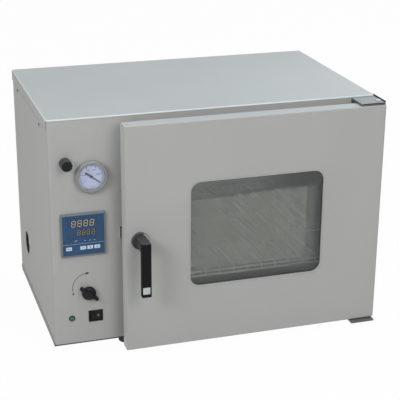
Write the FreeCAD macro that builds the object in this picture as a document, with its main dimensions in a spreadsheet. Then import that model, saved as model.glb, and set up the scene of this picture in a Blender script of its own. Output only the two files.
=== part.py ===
"""A bench-top vacuum drying oven, built as a parametric document.

Millimetres. X runs to the right along the front, Y runs to the back and Z runs up.
The origin lies under the middle of the oven, on the surface that its feet stand on.
Every sub-part is placed from the front lower left corner of the painted cabinet.
"""
import FreeCAD, Part
import math
import os
import re
import Sketcher
from FreeCAD import Placement, Rotation, Vector

SIZES = [
    # Painted cabinet
    ("cabinet_width", 725),
    ("cabinet_depth", 435),
    ("cabinet_height", 505),
    ("skin", 1.2),
    ("seam", 0.3),
    ("corner_radius", 6),
    ("fold_radius", 3),
    ("cover_lip", 24),
    ("cover_front_lip", 4),
    ("cover_step", 1.5),
    ("panel_return", 12),
    ("panel_flange", 10),
    ("tray_lip", 9),
    ("tray_step", 0.5),
    ("partition_gap", 8),
    ("partition_margin", 9),
    # Feet
    ("foot_height", 24),
    ("foot_radius", 20),
    ("foot_taper", 2),
    ("foot_screw_radius", 6),
    ("foot_screw_depth", 12),
    ("foot_left", 167),
    ("foot_margin", 30),
    ("foot_front", 28),
    ("foot_back", 400),
    # Screws of the top cover
    ("screw_radius", 4),
    ("screw_proud", 1),
    ("screw_shank_radius", 2),
    ("screw_hole_radius", 2.1),
    ("screw_length", 12),
    ("screw_front", 91),
    ("screw_back", 358),
    ("screw_drop", 12),
    # Heated chamber
    ("chamber_side_margin", 83.5),
    ("chamber_level_margin", 79.4),
    ("chamber_back_margin", 69),
    ("chamber_wall", 4),
    ("chamber_corner", 15),
    ("chamber_back_corner", 12),
    ("flange_wall", 12),
    ("flange_depth", 5),
    ("flange_reach", 8),
    ("seal_lip_radius", 3),
    ("heater_thickness", 3),
    ("heater_clearance", 5),
    ("heater_space", 8),
    # Temperature probe
    ("probe_radius", 3),
    ("probe_reach", 45),
    ("probe_depth", 210),
    ("probe_drop", 67),
    ("probe_nut_radius", 8),
    ("probe_nut_length", 10),
    # Shelves and their runners
    ("shelf_clearance", 8.5),
    ("shelf_front", 46),
    ("shelf_back_clearance", 6),
    ("shelf_low", 102),
    ("shelf_pitch", 80),
    ("shelf_rod_radius", 2.5),
    ("shelf_rail_radius", 2.2),
    ("shelf_wire_radius", 1.5),
    ("shelf_wire_pitch", 33),
    ("shelf_rise", 10),
    ("runner_foot", 16),
    ("runner_leg", 12),
    ("runner_sheet", 1.5),
    ("runner_start", 25),
    ("runner_back_clearance", 12),
    # Door
    ("door_left", 148),
    ("door_overhang", 5),
    ("door_bottom", -7.4),
    ("door_drop", 8.6),
    ("door_thickness", 30.4),
    ("door_gap", 25),
    ("door_sheet", 1.5),
    ("door_edge_radius", 6.5),
    ("door_fold_radius", 2.5),
    ("liner_fold", 5.5),
    ("window_side_margin", 141.25),
    ("window_level_margin", 133.9),
    ("window_corner", 22),
    ("gasket_web", 1.5),
    ("gasket_lip", 4),
    ("gasket_proud", 0.8),
    ("pane_thickness", 5),
    ("pane_overlap", 14),
    ("spacer_inset", 8),
    ("spacer_wall", 14),
    ("glass_overlap", 8.5),
    ("glass_thickness", 12),
    ("glass_corner", 10),
    ("glass_gap", 0.5),
    ("clip_length", 20),
    ("clip_width", 16),
    ("clip_bite", 5),
    ("clip_sheet", 1.5),
    # Door handle and latch
    ("handle_inset", 30.9),
    ("handle_z", 246),
    ("handle_reach", 109),
    ("rose_radius", 19),
    ("rose_thickness", 5),
    ("rose_bevel", 1),
    ("grip_width", 20),
    ("grip_thickness", 13),
    ("grip_top", 13),
    ("grip_bottom", 107.5),
    ("grip_softening", 2),
    ("neck_bottom", 8),
    ("inlay_width", 14),
    ("inlay_height", 15),
    ("inlay_end", 8),
    ("inlay_thickness", 0.6),
    ("spindle_radius", 5),
    ("spindle_bite", 20),
    ("spindle_bore", 5.05),
    ("spindle_pass", 7),
    ("tongue_hub_radius", 9),
    ("tongue_reach", 26),
    ("tongue_width", 14),
    ("tongue_thickness", 4),
    ("tongue_back", 8),
    ("keeper_sheet", 4),
    ("keeper_play", 1),
    ("keeper_reach", 18),
    ("keeper_height", 26),
    # Hinges
    ("hinge_inset", 14),
    ("hinge_reach", 38),
    ("hinge_plate_width", 55),
    ("hinge_plate_overhang", 0.5),
    ("hinge_upper_reach", 54.5),
    ("hinge_lower_reach", 65),
    ("hinge_plate", 4),
    ("hinge_play", 1.6),
    ("hinge_leg_width", 41),
    ("hinge_leg_height", 32),
    ("hinge_pin_radius", 4),
    ("hinge_pin_head", 6),
    ("hinge_pin_head_height", 1.6),
    ("hinge_pin_length", 26),
    ("hinge_bush_bore", 4.05),
    ("hinge_bush_radius", 6.5),
    ("hinge_bush_length", 22),
    # Vacuum gauge
    ("gauge_x", 90),
    ("gauge_z", 378.8),
    ("gauge_radius", 34.8),
    ("gauge_body_radius", 31.5),
    ("gauge_window_radius", 27.5),
    ("gauge_proud", 12),
    ("gauge_depth", 30),
    ("gauge_wall", 1.2),
    ("gauge_lip", 2.5),
    ("gauge_glass", 2),
    ("dial_height", 1.5),
    ("dial_thickness", 1),
    ("stem_radius", 8),
    ("stem_length", 26),
    ("needle_height", 4.2),
    ("needle_thickness", 0.8),
    ("needle_tip", 21.5),
    ("needle_tail", 13),
    ("needle_root_width", 2.4),
    ("needle_tail_width", 3.6),
    ("needle_hub_radius", 3),
    ("needle_arbor_radius", 1),
    ("needle_rest_angle", 38),
    # Temperature controller
    ("controller_x", 69.7),
    ("controller_z", 251.7),
    ("controller_size", 96),
    ("controller_proud", 6),
    ("controller_rim", 3.5),
    ("controller_case_size", 90),
    ("controller_depth", 72),
    ("face_height", 2.5),
    ("face_thickness", 2),
    ("display_left", 15),
    ("display_right", 79),
    ("display_top", 86),
    ("display_bottom", 42),
    ("display_thickness", 0.6),
    ("button_width", 12.4),
    ("button_height", 7.6),
    ("button_depth", 4.2),
    ("button_proud", 1.3),
    ("button_play", 0.3),
    ("button_row", 18.7),
    ("button_first", 16.5),
    ("button_second", 46.6),
    ("button_third", 61.6),
    ("button_fourth", 76.8),
    # Rocker switch
    ("switch_x", 92.3),
    ("switch_z", 59),
    ("switch_width", 31),
    ("switch_height", 26),
    ("switch_proud", 2.5),
    ("switch_body_width", 28),
    ("switch_body_height", 22.5),
    ("switch_depth", 24),
    ("switch_well_width", 25),
    ("switch_well_height", 19.6),
    ("switch_well_depth", 10),
    ("rocker_width", 22.6),
    ("rocker_height", 18.8),
    ("rocker_edge", 0.5),
    ("rocker_crown", 2.4),
    ("rocker_depth", 4),
    ("rocker_tilt", 8),
    # Indicator lamp
    ("lamp_x", 40.3),
    ("lamp_z", 58.6),
    ("lamp_radius", 6.8),
    ("lamp_proud", 2),
    ("lamp_body_radius", 5.6),
    ("lamp_depth", 22),
    ("lamp_lens_radius", 4.8),
    ("lamp_lens_proud", 3.6),
    # Vacuum valve
    ("valve_x", 78.2),
    ("valve_z", 115.2),
    ("valve_knob_radius", 15),
    ("valve_knob_height", 7),
    ("valve_knob_gap", 1.5),
    ("valve_ear_reach", 23),
    ("valve_ear_root", 8),
    ("valve_ear_tip", 3.6),
    ("valve_ear_height", 15),
    ("valve_knob_angle", 39),
    ("valve_stem_radius", 3),
    ("valve_stem_depth", 20),
    ("valve_stem_bore", 3.06),
    ("valve_pass", 5),
    ("valve_body_radius", 13),
    ("valve_body_depth", 60),
    # Vent valve
    ("vent_x", 36),
    ("vent_z", 412.2),
    ("vent_knob_radius", 12),
    ("vent_knob_start", 2),
    ("vent_knob_length", 18.5),
    ("vent_collar_radius", 7),
    ("vent_body_radius", 9),
    ("vent_body_depth", 82),
    # Pipework
    ("pipe_radius", 4),
    ("pump_pipe_radius", 6),
    ("pipe_bend", 20),
    ("chamber_pipe_y", 50),
    ("vent_pipe_y", 70),
    ("vent_pipe_z", 345),
    ("gauge_pipe_x", 124),
    ("tee_size", 16),
    ("pipe_socket", 3),
    # Pump port in the left side
    ("port_y", 328),
    ("port_z", 109),
    ("port_radius", 27),
    ("port_wall", 1.5),
    ("port_depth", 44),
    ("nozzle_radius", 6),
    ("nozzle_length", 32),
    ("nozzle_root_radius", 9),
    ("nozzle_root", 8),
    # Back of the cabinet
    ("inlet_x", 90),
    ("inlet_z", 60),
    ("gland_radius", 11),
    ("gland_bore", 4),
    ("gland_proud", 9),
    ("gland_nut_radius", 13),
    ("gland_nut", 4),
    ("louvre_width", 60),
    ("louvre_height", 4),
    ("louvre_columns", 3),
    ("louvre_rows", 6),
    ("louvre_column_pitch", 80),
    ("louvre_row_pitch", 11),
    ("louvre_drop", 105),
]

# Places and sizes that follow from the driving dimensions
DERIVED = [
    ("hinge_plate_right", "cabinet_width + hinge_plate_overhang"),
    ("hinge_plate_left", "hinge_plate_right - hinge_plate_width"),
    ("left_x", "-(cabinet_width + door_overhang) / 2"),
    ("front_y", "(handle_reach - cabinet_depth - gland_proud) / 2"),
    ("door_width", "cabinet_width + door_overhang - door_left"),
    ("door_height", "cabinet_height - door_drop - door_bottom"),
    ("handle_x", "door_left + handle_inset"),
    ("hinge_x", "door_left + door_width - hinge_inset"),
    ("chamber_width", "door_width - 2 * chamber_side_margin"),
    ("chamber_height", "door_height - 2 * chamber_level_margin"),
    ("chamber_depth", "cabinet_depth - chamber_back_margin - chamber_wall + flange_reach - flange_depth"),
    ("chamber_left", "door_left + chamber_side_margin"),
    ("chamber_bottom", "door_bottom + chamber_level_margin"),
    ("window_width", "door_width - 2 * window_side_margin"),
    ("window_height", "door_height - 2 * window_level_margin"),
    ("window_left", "window_side_margin"),
    ("window_bottom", "window_level_margin"),
    ("panel_width", "cabinet_width - 2 * cover_step"),
    ("fascia_height", "cabinet_height - cover_front_lip - seam"),
    ("panel_bottom", "tray_lip + seam"),
    ("panel_height", "cabinet_height - skin - fold_radius - panel_bottom"),
    ("side_front", "panel_return + seam"),
    ("side_length", "cabinet_depth - cover_step - panel_flange - seam - side_front"),
    ("door_front", "door_gap + door_thickness"),
    ("door_top", "door_bottom + door_height"),
    ("flange_outer_width", "chamber_width + 2 * flange_wall"),
    ("flange_outer_height", "chamber_height + 2 * flange_wall"),
    ("mouth_left", "chamber_left - flange_wall"),
    ("mouth_bottom", "chamber_bottom - flange_wall"),
    ("chamber_front", "flange_reach - flange_depth"),
    ("chamber_back", "chamber_depth + chamber_wall - chamber_front"),
    ("seal_depth", "door_gap - flange_reach - seam"),
    ("glass_width", "flange_outer_width + 2 * glass_overlap"),
    ("glass_height", "flange_outer_height + 2 * glass_overlap"),
    ("glass_left", "(door_width - glass_width) / 2"),
    ("glass_bottom", "(door_height - glass_height) / 2"),
    ("pane_back", "door_thickness - door_sheet - seam - pane_thickness"),
    ("shelf_width", "chamber_width - 2 * shelf_clearance"),
    ("shelf_depth", "chamber_depth - chamber_front - shelf_front - shelf_back_clearance"),
    ("runner_length", "chamber_depth - chamber_front - runner_start - runner_back_clearance"),
    ("probe_height", "chamber_bottom + chamber_height - probe_drop"),
    ("heater_inset", "probe_drop + probe_nut_radius + heater_clearance"),
    ("runner_top", "shelf_low - shelf_rod_radius - seam"),
    ("insulation_right", "cabinet_width - cover_step - panel_flange - seam"),
    ("insulation_back", "cabinet_depth - cover_step - panel_flange - seam"),
    ("partition_x", "door_left - partition_gap"),
    ("inner_front", "side_front + skin + seam"),
    ("insulation_left", "partition_x + skin + seam"),
    ("foot_right", "cabinet_width - foot_margin"),
    ("screw_height", "cabinet_height - screw_drop"),
    ("louvre_span", "(louvre_columns - 1) * louvre_column_pitch + louvre_width"),
    ("louvre_left", "(cabinet_width - louvre_span) / 2"),
    ("louvre_bottom", "cabinet_height - louvre_drop"),
]

FRONT = Rotation(Vector(1, 0, 0), 90)
SIDEWAYS = {"X": Rotation(Vector(0, 1, 0), 90), "-X": Rotation(Vector(0, 1, 0), -90)}
TURNS = {"X": SIDEWAYS["X"], "Y": Rotation(Vector(1, 0, 0), -90), "Z": Rotation()}
ROUND_STEP = 1e-4

doc = FreeCAD.newDocument("vacuum_drying_oven")
sheet = doc.addObject("Spreadsheet::Sheet", "Sizes")
sub_parts = []


def fill_sheet():
    """Write every size, and the formulas that follow from them, under its own alias."""
    rows = [(alias, str(number)) for alias, number in SIZES]
    rows += [(alias, "=" + formula) for alias, formula in DERIVED]
    for row, (alias, content) in enumerate(rows, start=1):
        sheet.set(f"A{row}", alias)
        sheet.set(f"B{row}", content)
        sheet.setAlias(f"B{row}", alias)
    doc.recompute()


ALIASES = {alias for alias, _ in SIZES + DERIVED}


def from_sheet(formula):
    """Point the aliases of a formula at the sheet, as in Sizes.skin + 2."""
    def named(match):
        word = match.group()
        return "Sizes." + word if word in ALIASES else word
    return re.sub(r"[A-Za-z_]\w*", named, str(formula))


def value(formula):
    """Read a formula's present value from the sheet."""
    return float(sheet.evalExpression(from_sheet(formula)))


def bind(thing, **formulas):
    """Bind properties of an object to formulas on the sheet."""
    for name, formula in formulas.items():
        thing.setExpression(name, from_sheet(formula))


def move(thing, x, y, z):
    """Bind the place of an object to three formulas."""
    for axis, formula in zip("xyz", (x, y, z)):
        thing.setExpression("Placement.Base." + axis, from_sheet(formula))


def new_body(label, x=0, y=0, z=0, turn=None):
    """Open a body, placed by its distances from the cabinet's front lower left corner."""
    body = doc.addObject("PartDesign::Body", label)
    body.Label = label
    if turn:
        body.Placement = Placement(Vector(), turn)
    move(body, f"left_x + ({x})", f"front_y + ({y})", f"foot_height + ({z})")
    sub_parts.append(body)
    return body


def primitive(body, kind, at, along, **formulas):
    """Add a primitive feature to a body."""
    feature = body.newObject("PartDesign::" + kind, kind)
    feature.Placement = Placement(Vector(), TURNS[along])
    bind(feature, **formulas)
    move(feature, *at)
    body.Tip = feature
    return feature


def block(body, length, width, height, at=(0, 0, 0)):
    """Add a block whose lowest corner is at a point of the body."""
    return primitive(body, "AdditiveBox", at, "Z", Length=length, Width=width, Height=height)


def cut_block(body, length, width, height, at=(0, 0, 0)):
    """Cut a block out of a body."""
    return primitive(body, "SubtractiveBox", at, "Z", Length=length, Width=width, Height=height)


def rod(body, radius, length, at=(0, 0, 0), along="Z"):
    """Add a cylinder that starts at a point of the body."""
    return primitive(body, "AdditiveCylinder", at, along, Radius=radius, Height=length)


def bore(body, radius, length, at=(0, 0, 0), along="Z"):
    """Cut a cylinder out of a body."""
    return primitive(body, "SubtractiveCylinder", at, along, Radius=radius, Height=length)


def on_level(shape, levels):
    """Tell whether the middle of an edge or face lies at the levels asked for."""
    middle = shape.CenterOfMass
    for axis, formulas in levels.items():
        if not isinstance(formulas, tuple):
            formulas = (formulas,)
        if not any(abs(getattr(middle, axis) - value(formula)) < ROUND_STEP for formula in formulas):
            return False
    return True


def edges_at(shape, run=None, **levels):
    """Name the edges of a shape at some levels; run keeps the straight ones along an axis."""
    names = []
    for number, edge in enumerate(shape.Edges, start=1):
        straight = isinstance(edge.Curve, Part.Line)
        if run and not (straight and abs(getattr(edge.Curve.Direction, run.lower())) > 0.999):
            continue
        if on_level(edge, levels):
            names.append(f"Edge{number}")
    return names


def faces_at(shape, **levels):
    """Name the flat faces of a shape that face along an axis at a level."""
    names = []
    for number, face in enumerate(shape.Faces, start=1):
        if not isinstance(face.Surface, Part.Plane):
            continue
        faces_axis = all(abs(getattr(face.Surface.Axis, axis)) > 0.999 for axis in levels)
        if faces_axis and on_level(face, levels):
            names.append(f"Face{number}")
    return names


def dress(body, kind, names, **formulas):
    """Add a feature that works on named edges or faces of the body's last feature."""
    base = body.Tip
    feature = body.newObject("PartDesign::" + kind, kind)
    feature.Base = (base, names)
    bind(feature, **formulas)
    body.Tip = feature
    doc.recompute()
    return feature


def soften(body, radius, run=None, **levels):
    """Round edges of a body's last feature."""
    doc.recompute()
    return dress(body, "Fillet", edges_at(body.Tip.Shape, run, **levels), Radius=radius)


def bevel(body, size, run=None, **levels):
    """Bevel edges of a body's last feature."""
    doc.recompute()
    return dress(body, "Chamfer", edges_at(body.Tip.Shape, run, **levels), Size=size)


def hollow(body, wall, **level):
    """Turn a body into a shell that is open at one face."""
    doc.recompute()
    shell = dress(body, "Thickness", faces_at(body.Tip.Shape, **level), Value=wall)
    shell.Reversed = True
    doc.recompute()
    return shell


def origin_feature(body, role):
    """Find an axis or plane of a body's own origin."""
    return next(feature for feature in body.Origin.OriginFeatures if feature.Role == role)


def new_sketch(body, plane, name):
    """Open a sketch on one of the body's origin planes."""
    sketch = body.newObject("Sketcher::SketchObject", name)
    sketch.AttachmentSupport = [(origin_feature(body, plane), "")]
    sketch.MapMode = "FlatFace"
    return sketch


def set_point(sketch, edge, end, across, up):
    """Tie a point of a sketch to its two coordinates."""
    for kind, axis, formula in (("DistanceX", -2, across), ("DistanceY", -1, up)):
        distance = value(formula)
        if abs(distance) < ROUND_STEP:
            sketch.addConstraint(Sketcher.Constraint("PointOnObject", edge, end, axis))
        else:
            number = sketch.addConstraint(Sketcher.Constraint(kind, edge, end, distance))
            bind(sketch, **{f"Constraints[{number}]": formula})


def outline(body, plane, corners):
    """Draw a closed outline of straight lines through corners given as pairs of formulas."""
    sketch = new_sketch(body, plane, "Outline")
    points = [Vector(value(across), value(up), 0) for across, up in corners]
    for start, end in zip(points, points[1:] + points[:1]):
        sketch.addGeometry(Part.LineSegment(start, end), False)
    for edge in range(len(points)):
        sketch.addConstraint(Sketcher.Constraint("Coincident", edge, 2, (edge + 1) % len(points), 1))
    for edge, (across, up) in enumerate(corners):
        set_point(sketch, edge, 1, across, up)
    return sketch


def pad(body, plane, corners, length, kind="Pad", reversed_side=False):
    """Pad or pocket an outline drawn on an origin plane."""
    sketch = outline(body, plane, corners)
    feature = body.newObject("PartDesign::" + kind, kind)
    feature.Profile = sketch
    feature.Reversed = reversed_side
    bind(feature, Length=length)
    body.Tip = feature
    doc.recompute()
    return feature


def turned(body, corners, kind="Revolution"):
    """Turn an outline of (radius, height) corners about the body's Z axis."""
    sketch = outline(body, "XZ_Plane", corners)
    feature = body.newObject("PartDesign::" + kind, kind)
    feature.Profile = sketch
    feature.ReferenceAxis = (sketch, ["V_Axis"])
    feature.Angle = 360
    body.Tip = feature
    doc.recompute()
    return feature


def repeat(body, features, axis, pitch, count):
    """Repeat features in a row along an axis of the body."""
    pattern = body.newObject("PartDesign::LinearPattern", "Row")
    pattern.Originals = features
    pattern.Direction = (origin_feature(body, axis + "_Axis"), [""])
    bind(pattern, Length=f"({pitch}) * (({count}) - 1)", Occurrences=count)
    body.Tip = pattern
    doc.recompute()
    return pattern


def row_step(body, axis, pitch, count):
    """Prepare a row as one step of a grid."""
    step = body.newObject("PartDesign::LinearPattern", "Row")
    step.Direction = (origin_feature(body, axis + "_Axis"), [""])
    bind(step, Length=f"({pitch}) * (({count}) - 1)", Occurrences=count)
    return step


def mirror_step(body, plane):
    """Prepare a mirror image over an origin plane as one step of a grid."""
    step = body.newObject("PartDesign::Mirrored", "Mirrored")
    step.MirrorPlane = (origin_feature(body, plane), [""])
    return step


def repeat_all(body, features, steps):
    """Repeat features through several steps, such as rows and columns."""
    grid = body.newObject("PartDesign::MultiTransform", "Grid")
    grid.Originals = features
    grid.Transformations = steps
    body.Tip = grid
    doc.recompute()
    return grid


def ring(label, width, height, wall, depth, radius, x, y, z):
    """Make a rounded frame, seen from the front, around an opening of a width and height."""
    body = new_body(label, x, y, z, FRONT)
    right, top = f"{width} + 2 * {wall}", f"{height} + 2 * {wall}"
    block(body, right, top, depth)
    cut_block(body, width, height, f"{depth} + 2", (wall, wall, "-1"))
    soften(body, radius, "Z", x=(wall, f"{wall} + {width}"), y=(wall, f"{wall} + {height}"))
    soften(body, f"{radius} + {wall}", "Z", x=("0", right), y=("0", top))
    return body


def group(label, members):
    """Join separate solids in one node."""
    for member in members:
        if member in sub_parts:
            sub_parts.remove(member)
    whole = doc.addObject("Part::Compound", label)
    whole.Label = label
    whole.Links = members
    sub_parts.append(whole)
    return whole


# Painted cabinet


def make_top_cover():
    """The lid: one folded sheet with deep lips at the sides and back and a low one in front."""
    body = new_body("top_cover", 0, 0, "cabinet_height - cover_lip")
    block(body, "cabinet_width", "cabinet_depth", "cover_lip")
    soften(body, "corner_radius", "Z", y="0")
    soften(body, "fold_radius", z="cover_lip")
    hollow(body, "skin", z="0")
    cut_block(body, "cabinet_width + 2", "corner_radius + 1", "cover_lip - cover_front_lip + 1",
              ("-1", "-1", "-1"))
    drill_for_screws(body, "cabinet_width + 2", "-1", "0", "cabinet_height - cover_lip")


def drill_for_screws(body, length, x, y, z):
    """Drill the holes of the lid's screws; y and z are where the body lies."""
    for place in ("screw_front", "screw_back"):
        bore(body, "screw_hole_radius", length, (x, f"{place} - ({y})", f"screw_height - ({z})"), "X")


def make_fascia():
    """The front sheet with its folded returns, the chamber mouth and the control openings."""
    body = new_body("front_fascia", "cover_step", "panel_return", 0, FRONT)
    block(body, "panel_width", "fascia_height", "panel_return")
    soften(body, "corner_radius", "Y", z="panel_return")
    hollow(body, "skin", z="0")
    left, bottom = "mouth_left - seam - cover_step", "mouth_bottom - seam"
    width, height = "flange_outer_width + 2 * seam", "flange_outer_height + 2 * seam"
    through = "panel_return + 2"
    cut_block(body, width, height, through, (left, bottom, "-1"))
    soften(body, "chamber_corner + flange_wall + seam", "Z", x=(left, f"{left} + {width}"),
           y=(bottom, f"{bottom} + {height}"))
    for x, z, radius in (("gauge_x", "gauge_z", "gauge_body_radius + seam"),
                         ("valve_x", "valve_z", "valve_pass"),
                         ("vent_x", "vent_z", "valve_pass"),
                         ("lamp_x", "lamp_z", "lamp_body_radius + seam")):
        bore(body, radius, through, (f"{x} - cover_step", z, "-1"))
    for x, z, width, height in (("controller_x", "controller_z", "controller_case_size", "controller_case_size"),
                                ("switch_x", "switch_z", "switch_body_width", "switch_body_height")):
        corner = (f"{x} - cover_step - {width} / 2 - seam", f"{z} - {height} / 2 - seam", "-1")
        cut_block(body, f"{width} + 2 * seam", f"{height} + 2 * seam", through, corner)


def make_side_panel(label, x, open_side):
    """A side sheet whose four edges are folded towards the inside."""
    body = new_body(label, x, "side_front", "panel_bottom")
    block(body, "panel_flange", "side_length", "panel_height")
    hollow(body, "skin", x=open_side)
    drill_for_screws(body, "panel_flange + 2", "-1", "side_front", "panel_bottom")
    return body


def make_side_panels():
    """Both side sheets; the left one has the round opening of the pump port."""
    left = make_side_panel("left_side_panel", "cover_step", "panel_flange")
    bore(left, "port_radius", "skin + 2", ("-1", "port_y - side_front", "port_z - panel_bottom"), "X")
    make_side_panel("right_side_panel", "cabinet_width - cover_step - panel_flange", "0")


def make_back_panel():
    """The back sheet with its ventilation slots and the hole of the cord gland."""
    body = new_body("back_panel", "cover_step", "cabinet_depth - cover_step", "panel_bottom", FRONT)
    block(body, "panel_width", "panel_height", "panel_flange")
    hollow(body, "skin", z="panel_flange")
    corner = ("louvre_left - cover_step", "louvre_bottom - panel_bottom", "-1")
    slot = cut_block(body, "louvre_width", "louvre_height", "skin + 2", corner)
    repeat_all(body, [slot], [row_step(body, "X", "louvre_column_pitch", "louvre_columns"),
                              row_step(body, "Y", "louvre_row_pitch", "louvre_rows")])
    bore(body, "gland_radius + seam", "skin + 2", ("inlet_x - cover_step", "inlet_z - panel_bottom", "-1"))


def make_base_tray():
    """The bottom sheet with low upright lips."""
    body = new_body("base_tray", "tray_step", "side_front", 0)
    block(body, "cabinet_width - 2 * tray_step", "cabinet_depth - side_front", "tray_lip")
    hollow(body, "skin", z="tray_lip")


def make_partition():
    """The inner sheet between the controls and the insulated chamber."""
    body = new_body("partition_panel", "partition_x", "inner_front", "skin + seam")
    block(body, "skin", "insulation_back - inner_front", "cabinet_height - partition_margin")
    pass_pipes(body, "inner_front", "skin + seam", "skin + 2")


def pass_pipes(body, y, z, length):
    """Cut the three openings through which pipes and the probe reach the chamber."""
    for radius, pipe_y, pipe_z in (("pipe_radius", "chamber_pipe_y", "valve_z"),
                                   ("pipe_radius", "vent_pipe_y", "vent_pipe_z"),
                                   ("probe_nut_radius", "probe_depth", "probe_height")):
        bore(body, f"{radius} + seam", length, ("-1", f"{pipe_y} - ({y})", f"{pipe_z} - ({z})"), "X")


def make_feet():
    """Four tapered rubber feet with a recess for their screws."""
    feet = []
    for x in ("foot_left", "foot_right"):
        for y in ("foot_front", "foot_back"):
            foot = new_body("foot", x, y, "-foot_height")
            turned(foot, [("foot_screw_radius", "0"), ("foot_radius - foot_taper", "0"),
                          ("foot_radius", "foot_height"), ("0", "foot_height"),
                          ("0", "foot_screw_depth"), ("foot_screw_radius", "foot_screw_depth")])
            soften(foot, "foot_taper", z="0", x="0")
            feet.append(foot)
    group("feet", feet)


def make_cover_screws():
    """Pan-head screws that hold the lid's side lips to the side panels."""
    screws = []
    for side, x, turn in (("left", "-screw_proud", "X"), ("right", "cabinet_width + screw_proud", "-X")):
        for y in ("screw_front", "screw_back"):
            screw = new_body("screw_" + side, x, y, "screw_height", SIDEWAYS[turn])
            turned(screw, [("0", "0"), ("screw_radius - screw_proud", "0"), ("screw_radius", "screw_proud"),
                           ("screw_shank_radius", "screw_proud"), ("screw_shank_radius", "screw_length"),
                           ("0", "screw_length")])
            screws.append(screw)
    group("cover_screws", screws)


# Heated chamber


def make_chamber():
    """The welded vacuum chamber, open at the front, with its ports in the left wall."""
    body = new_body("heating_chamber", "chamber_left - chamber_wall", "chamber_back",
                    "chamber_bottom - chamber_wall", FRONT)
    width, height = "chamber_width + 2 * chamber_wall", "chamber_height + 2 * chamber_wall"
    block(body, width, height, "chamber_depth + chamber_wall")
    soften(body, "chamber_corner + chamber_wall", "Z")
    soften(body, "chamber_back_corner", z="0")
    hollow(body, "chamber_wall", z="chamber_depth + chamber_wall")
    for radius, y, z in (("pipe_radius / 2", "chamber_pipe_y", "valve_z"),
                         ("pipe_radius / 2", "vent_pipe_y", "vent_pipe_z"),
                         ("probe_radius", "probe_depth", "probe_height")):
        bore(body, radius, "chamber_wall + 2",
             ("-1", f"{z} - chamber_bottom + chamber_wall", f"chamber_back - {y}"), "X")


def make_mouth():
    """The steel flange round the chamber's mouth and the silicone seal in front of it."""
    sizes = ("chamber_width", "chamber_height", "flange_wall")
    corner = ("mouth_left", "mouth_bottom")
    ring("chamber_flange", *sizes, "flange_depth", "chamber_corner", corner[0], "-chamber_front", corner[1])
    seal = ring("door_seal", *sizes, "seal_depth", "chamber_corner", corner[0], "-flange_reach", corner[1])
    soften(seal, "seal_lip_radius", z="seal_depth")


def make_insulation():
    """The block of mineral wool that fills the cabinet round the chamber."""
    body = new_body("chamber_insulation", "insulation_left", "inner_front", "skin + seam")
    height = "cabinet_height - 2 * skin - 2 * seam"
    length = "insulation_back - inner_front"
    block(body, "insulation_right - insulation_left", length, height)
    space = "(chamber_wall + heater_space)"
    cut_block(body, f"chamber_width + 2 * {space}", "chamber_back + heater_space - inner_front + 1",
              f"chamber_height + 2 * {space}",
              (f"chamber_left - {space} - insulation_left", "-1",
               f"chamber_bottom - {space} - skin - seam"))
    pass_pipes(body, "inner_front", "skin + seam", "chamber_left - insulation_left")


def make_heaters():
    """Flat heating pads pressed on the chamber's four outer walls."""
    span_y = "chamber_depth - 2 * heater_inset"
    start_y = "heater_inset"
    pads = []
    for name, x in (("left", "chamber_left - chamber_wall - heater_thickness"),
                    ("right", "chamber_left + chamber_width + chamber_wall")):
        body = new_body("heater_" + name, x, start_y, "chamber_bottom + heater_inset")
        block(body, "heater_thickness", span_y, "chamber_height - 2 * heater_inset")
        pads.append(body)
    for name, z in (("bottom", "chamber_bottom - chamber_wall - heater_thickness"),
                    ("top", "chamber_bottom + chamber_height + chamber_wall")):
        body = new_body("heater_" + name, "chamber_left + heater_inset", start_y, z)
        block(body, "chamber_width - 2 * heater_inset", span_y, "heater_thickness")
        pads.append(body)
    group("heater_pads", pads)


def make_probe():
    """The temperature probe, screwed through the chamber's left wall."""
    body = new_body("temperature_probe", "chamber_left - chamber_wall - probe_nut_length",
                    "probe_depth", "probe_height", SIDEWAYS["X"])
    tip = "probe_nut_length + chamber_wall + probe_reach"
    turned(body, [("0", "0"), ("probe_nut_radius", "0"), ("probe_nut_radius", "probe_nut_length"),
                  ("probe_radius", "probe_nut_length"), ("probe_radius", tip), ("0", tip)])
    soften(body, "probe_radius / 2", z=tip)


def make_runners():
    """Angle runners on both side walls, one pair under each shelf."""
    body = new_body("shelf_runners", "chamber_left + chamber_width / 2", "runner_start", "runner_top")
    wall = "-chamber_width / 2"
    foot = block(body, "runner_foot", "runner_length", "runner_sheet", (wall, "0", "-runner_sheet"))
    upright = block(body, "runner_sheet", "runner_length", "runner_leg", (wall, "0", "-runner_leg"))
    repeat_all(body, [foot, upright],
               [row_step(body, "Z", "shelf_pitch", "2"), mirror_step(body, "YZ_Plane")])


def make_shelf(label, level):
    """A wire shelf: a rod frame, a raised grid of wires and their ends bent down to the frame."""
    body = new_body(label, "chamber_left + shelf_clearance", "shelf_front", level)
    side, rail, wire = "shelf_rod_radius", "shelf_rail_radius", "shelf_wire_radius"
    across, deep = "shelf_width", "shelf_depth"
    wires = "floor((shelf_width - 20) / shelf_wire_pitch) + 1"
    margin = f"(shelf_width - ({wires} - 1) * shelf_wire_pitch) / 2"
    for x in (side, f"{across} - {side}"):
        rod(body, side, deep, (x, "0", "0"), "Y")
    for y in (side, f"{deep} - {side}"):
        for z in ("0", "shelf_rise"):
            rod(body, rail, f"{across} - 2 * {side}", (side, y, z), "X")
    long_wire = rod(body, wire, f"{deep} - {side}",
                    (margin, f"{side} / 2", f"shelf_rise + {rail} + {wire} / 2"), "Y")
    repeat(body, [long_wire], "X", "shelf_wire_pitch", wires)
    for y in (side, f"{deep} - {side}"):
        repeat(body, [rod(body, wire, "shelf_rise", (margin, y, "0"))], "X", "shelf_wire_pitch", wires)


# Door


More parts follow.
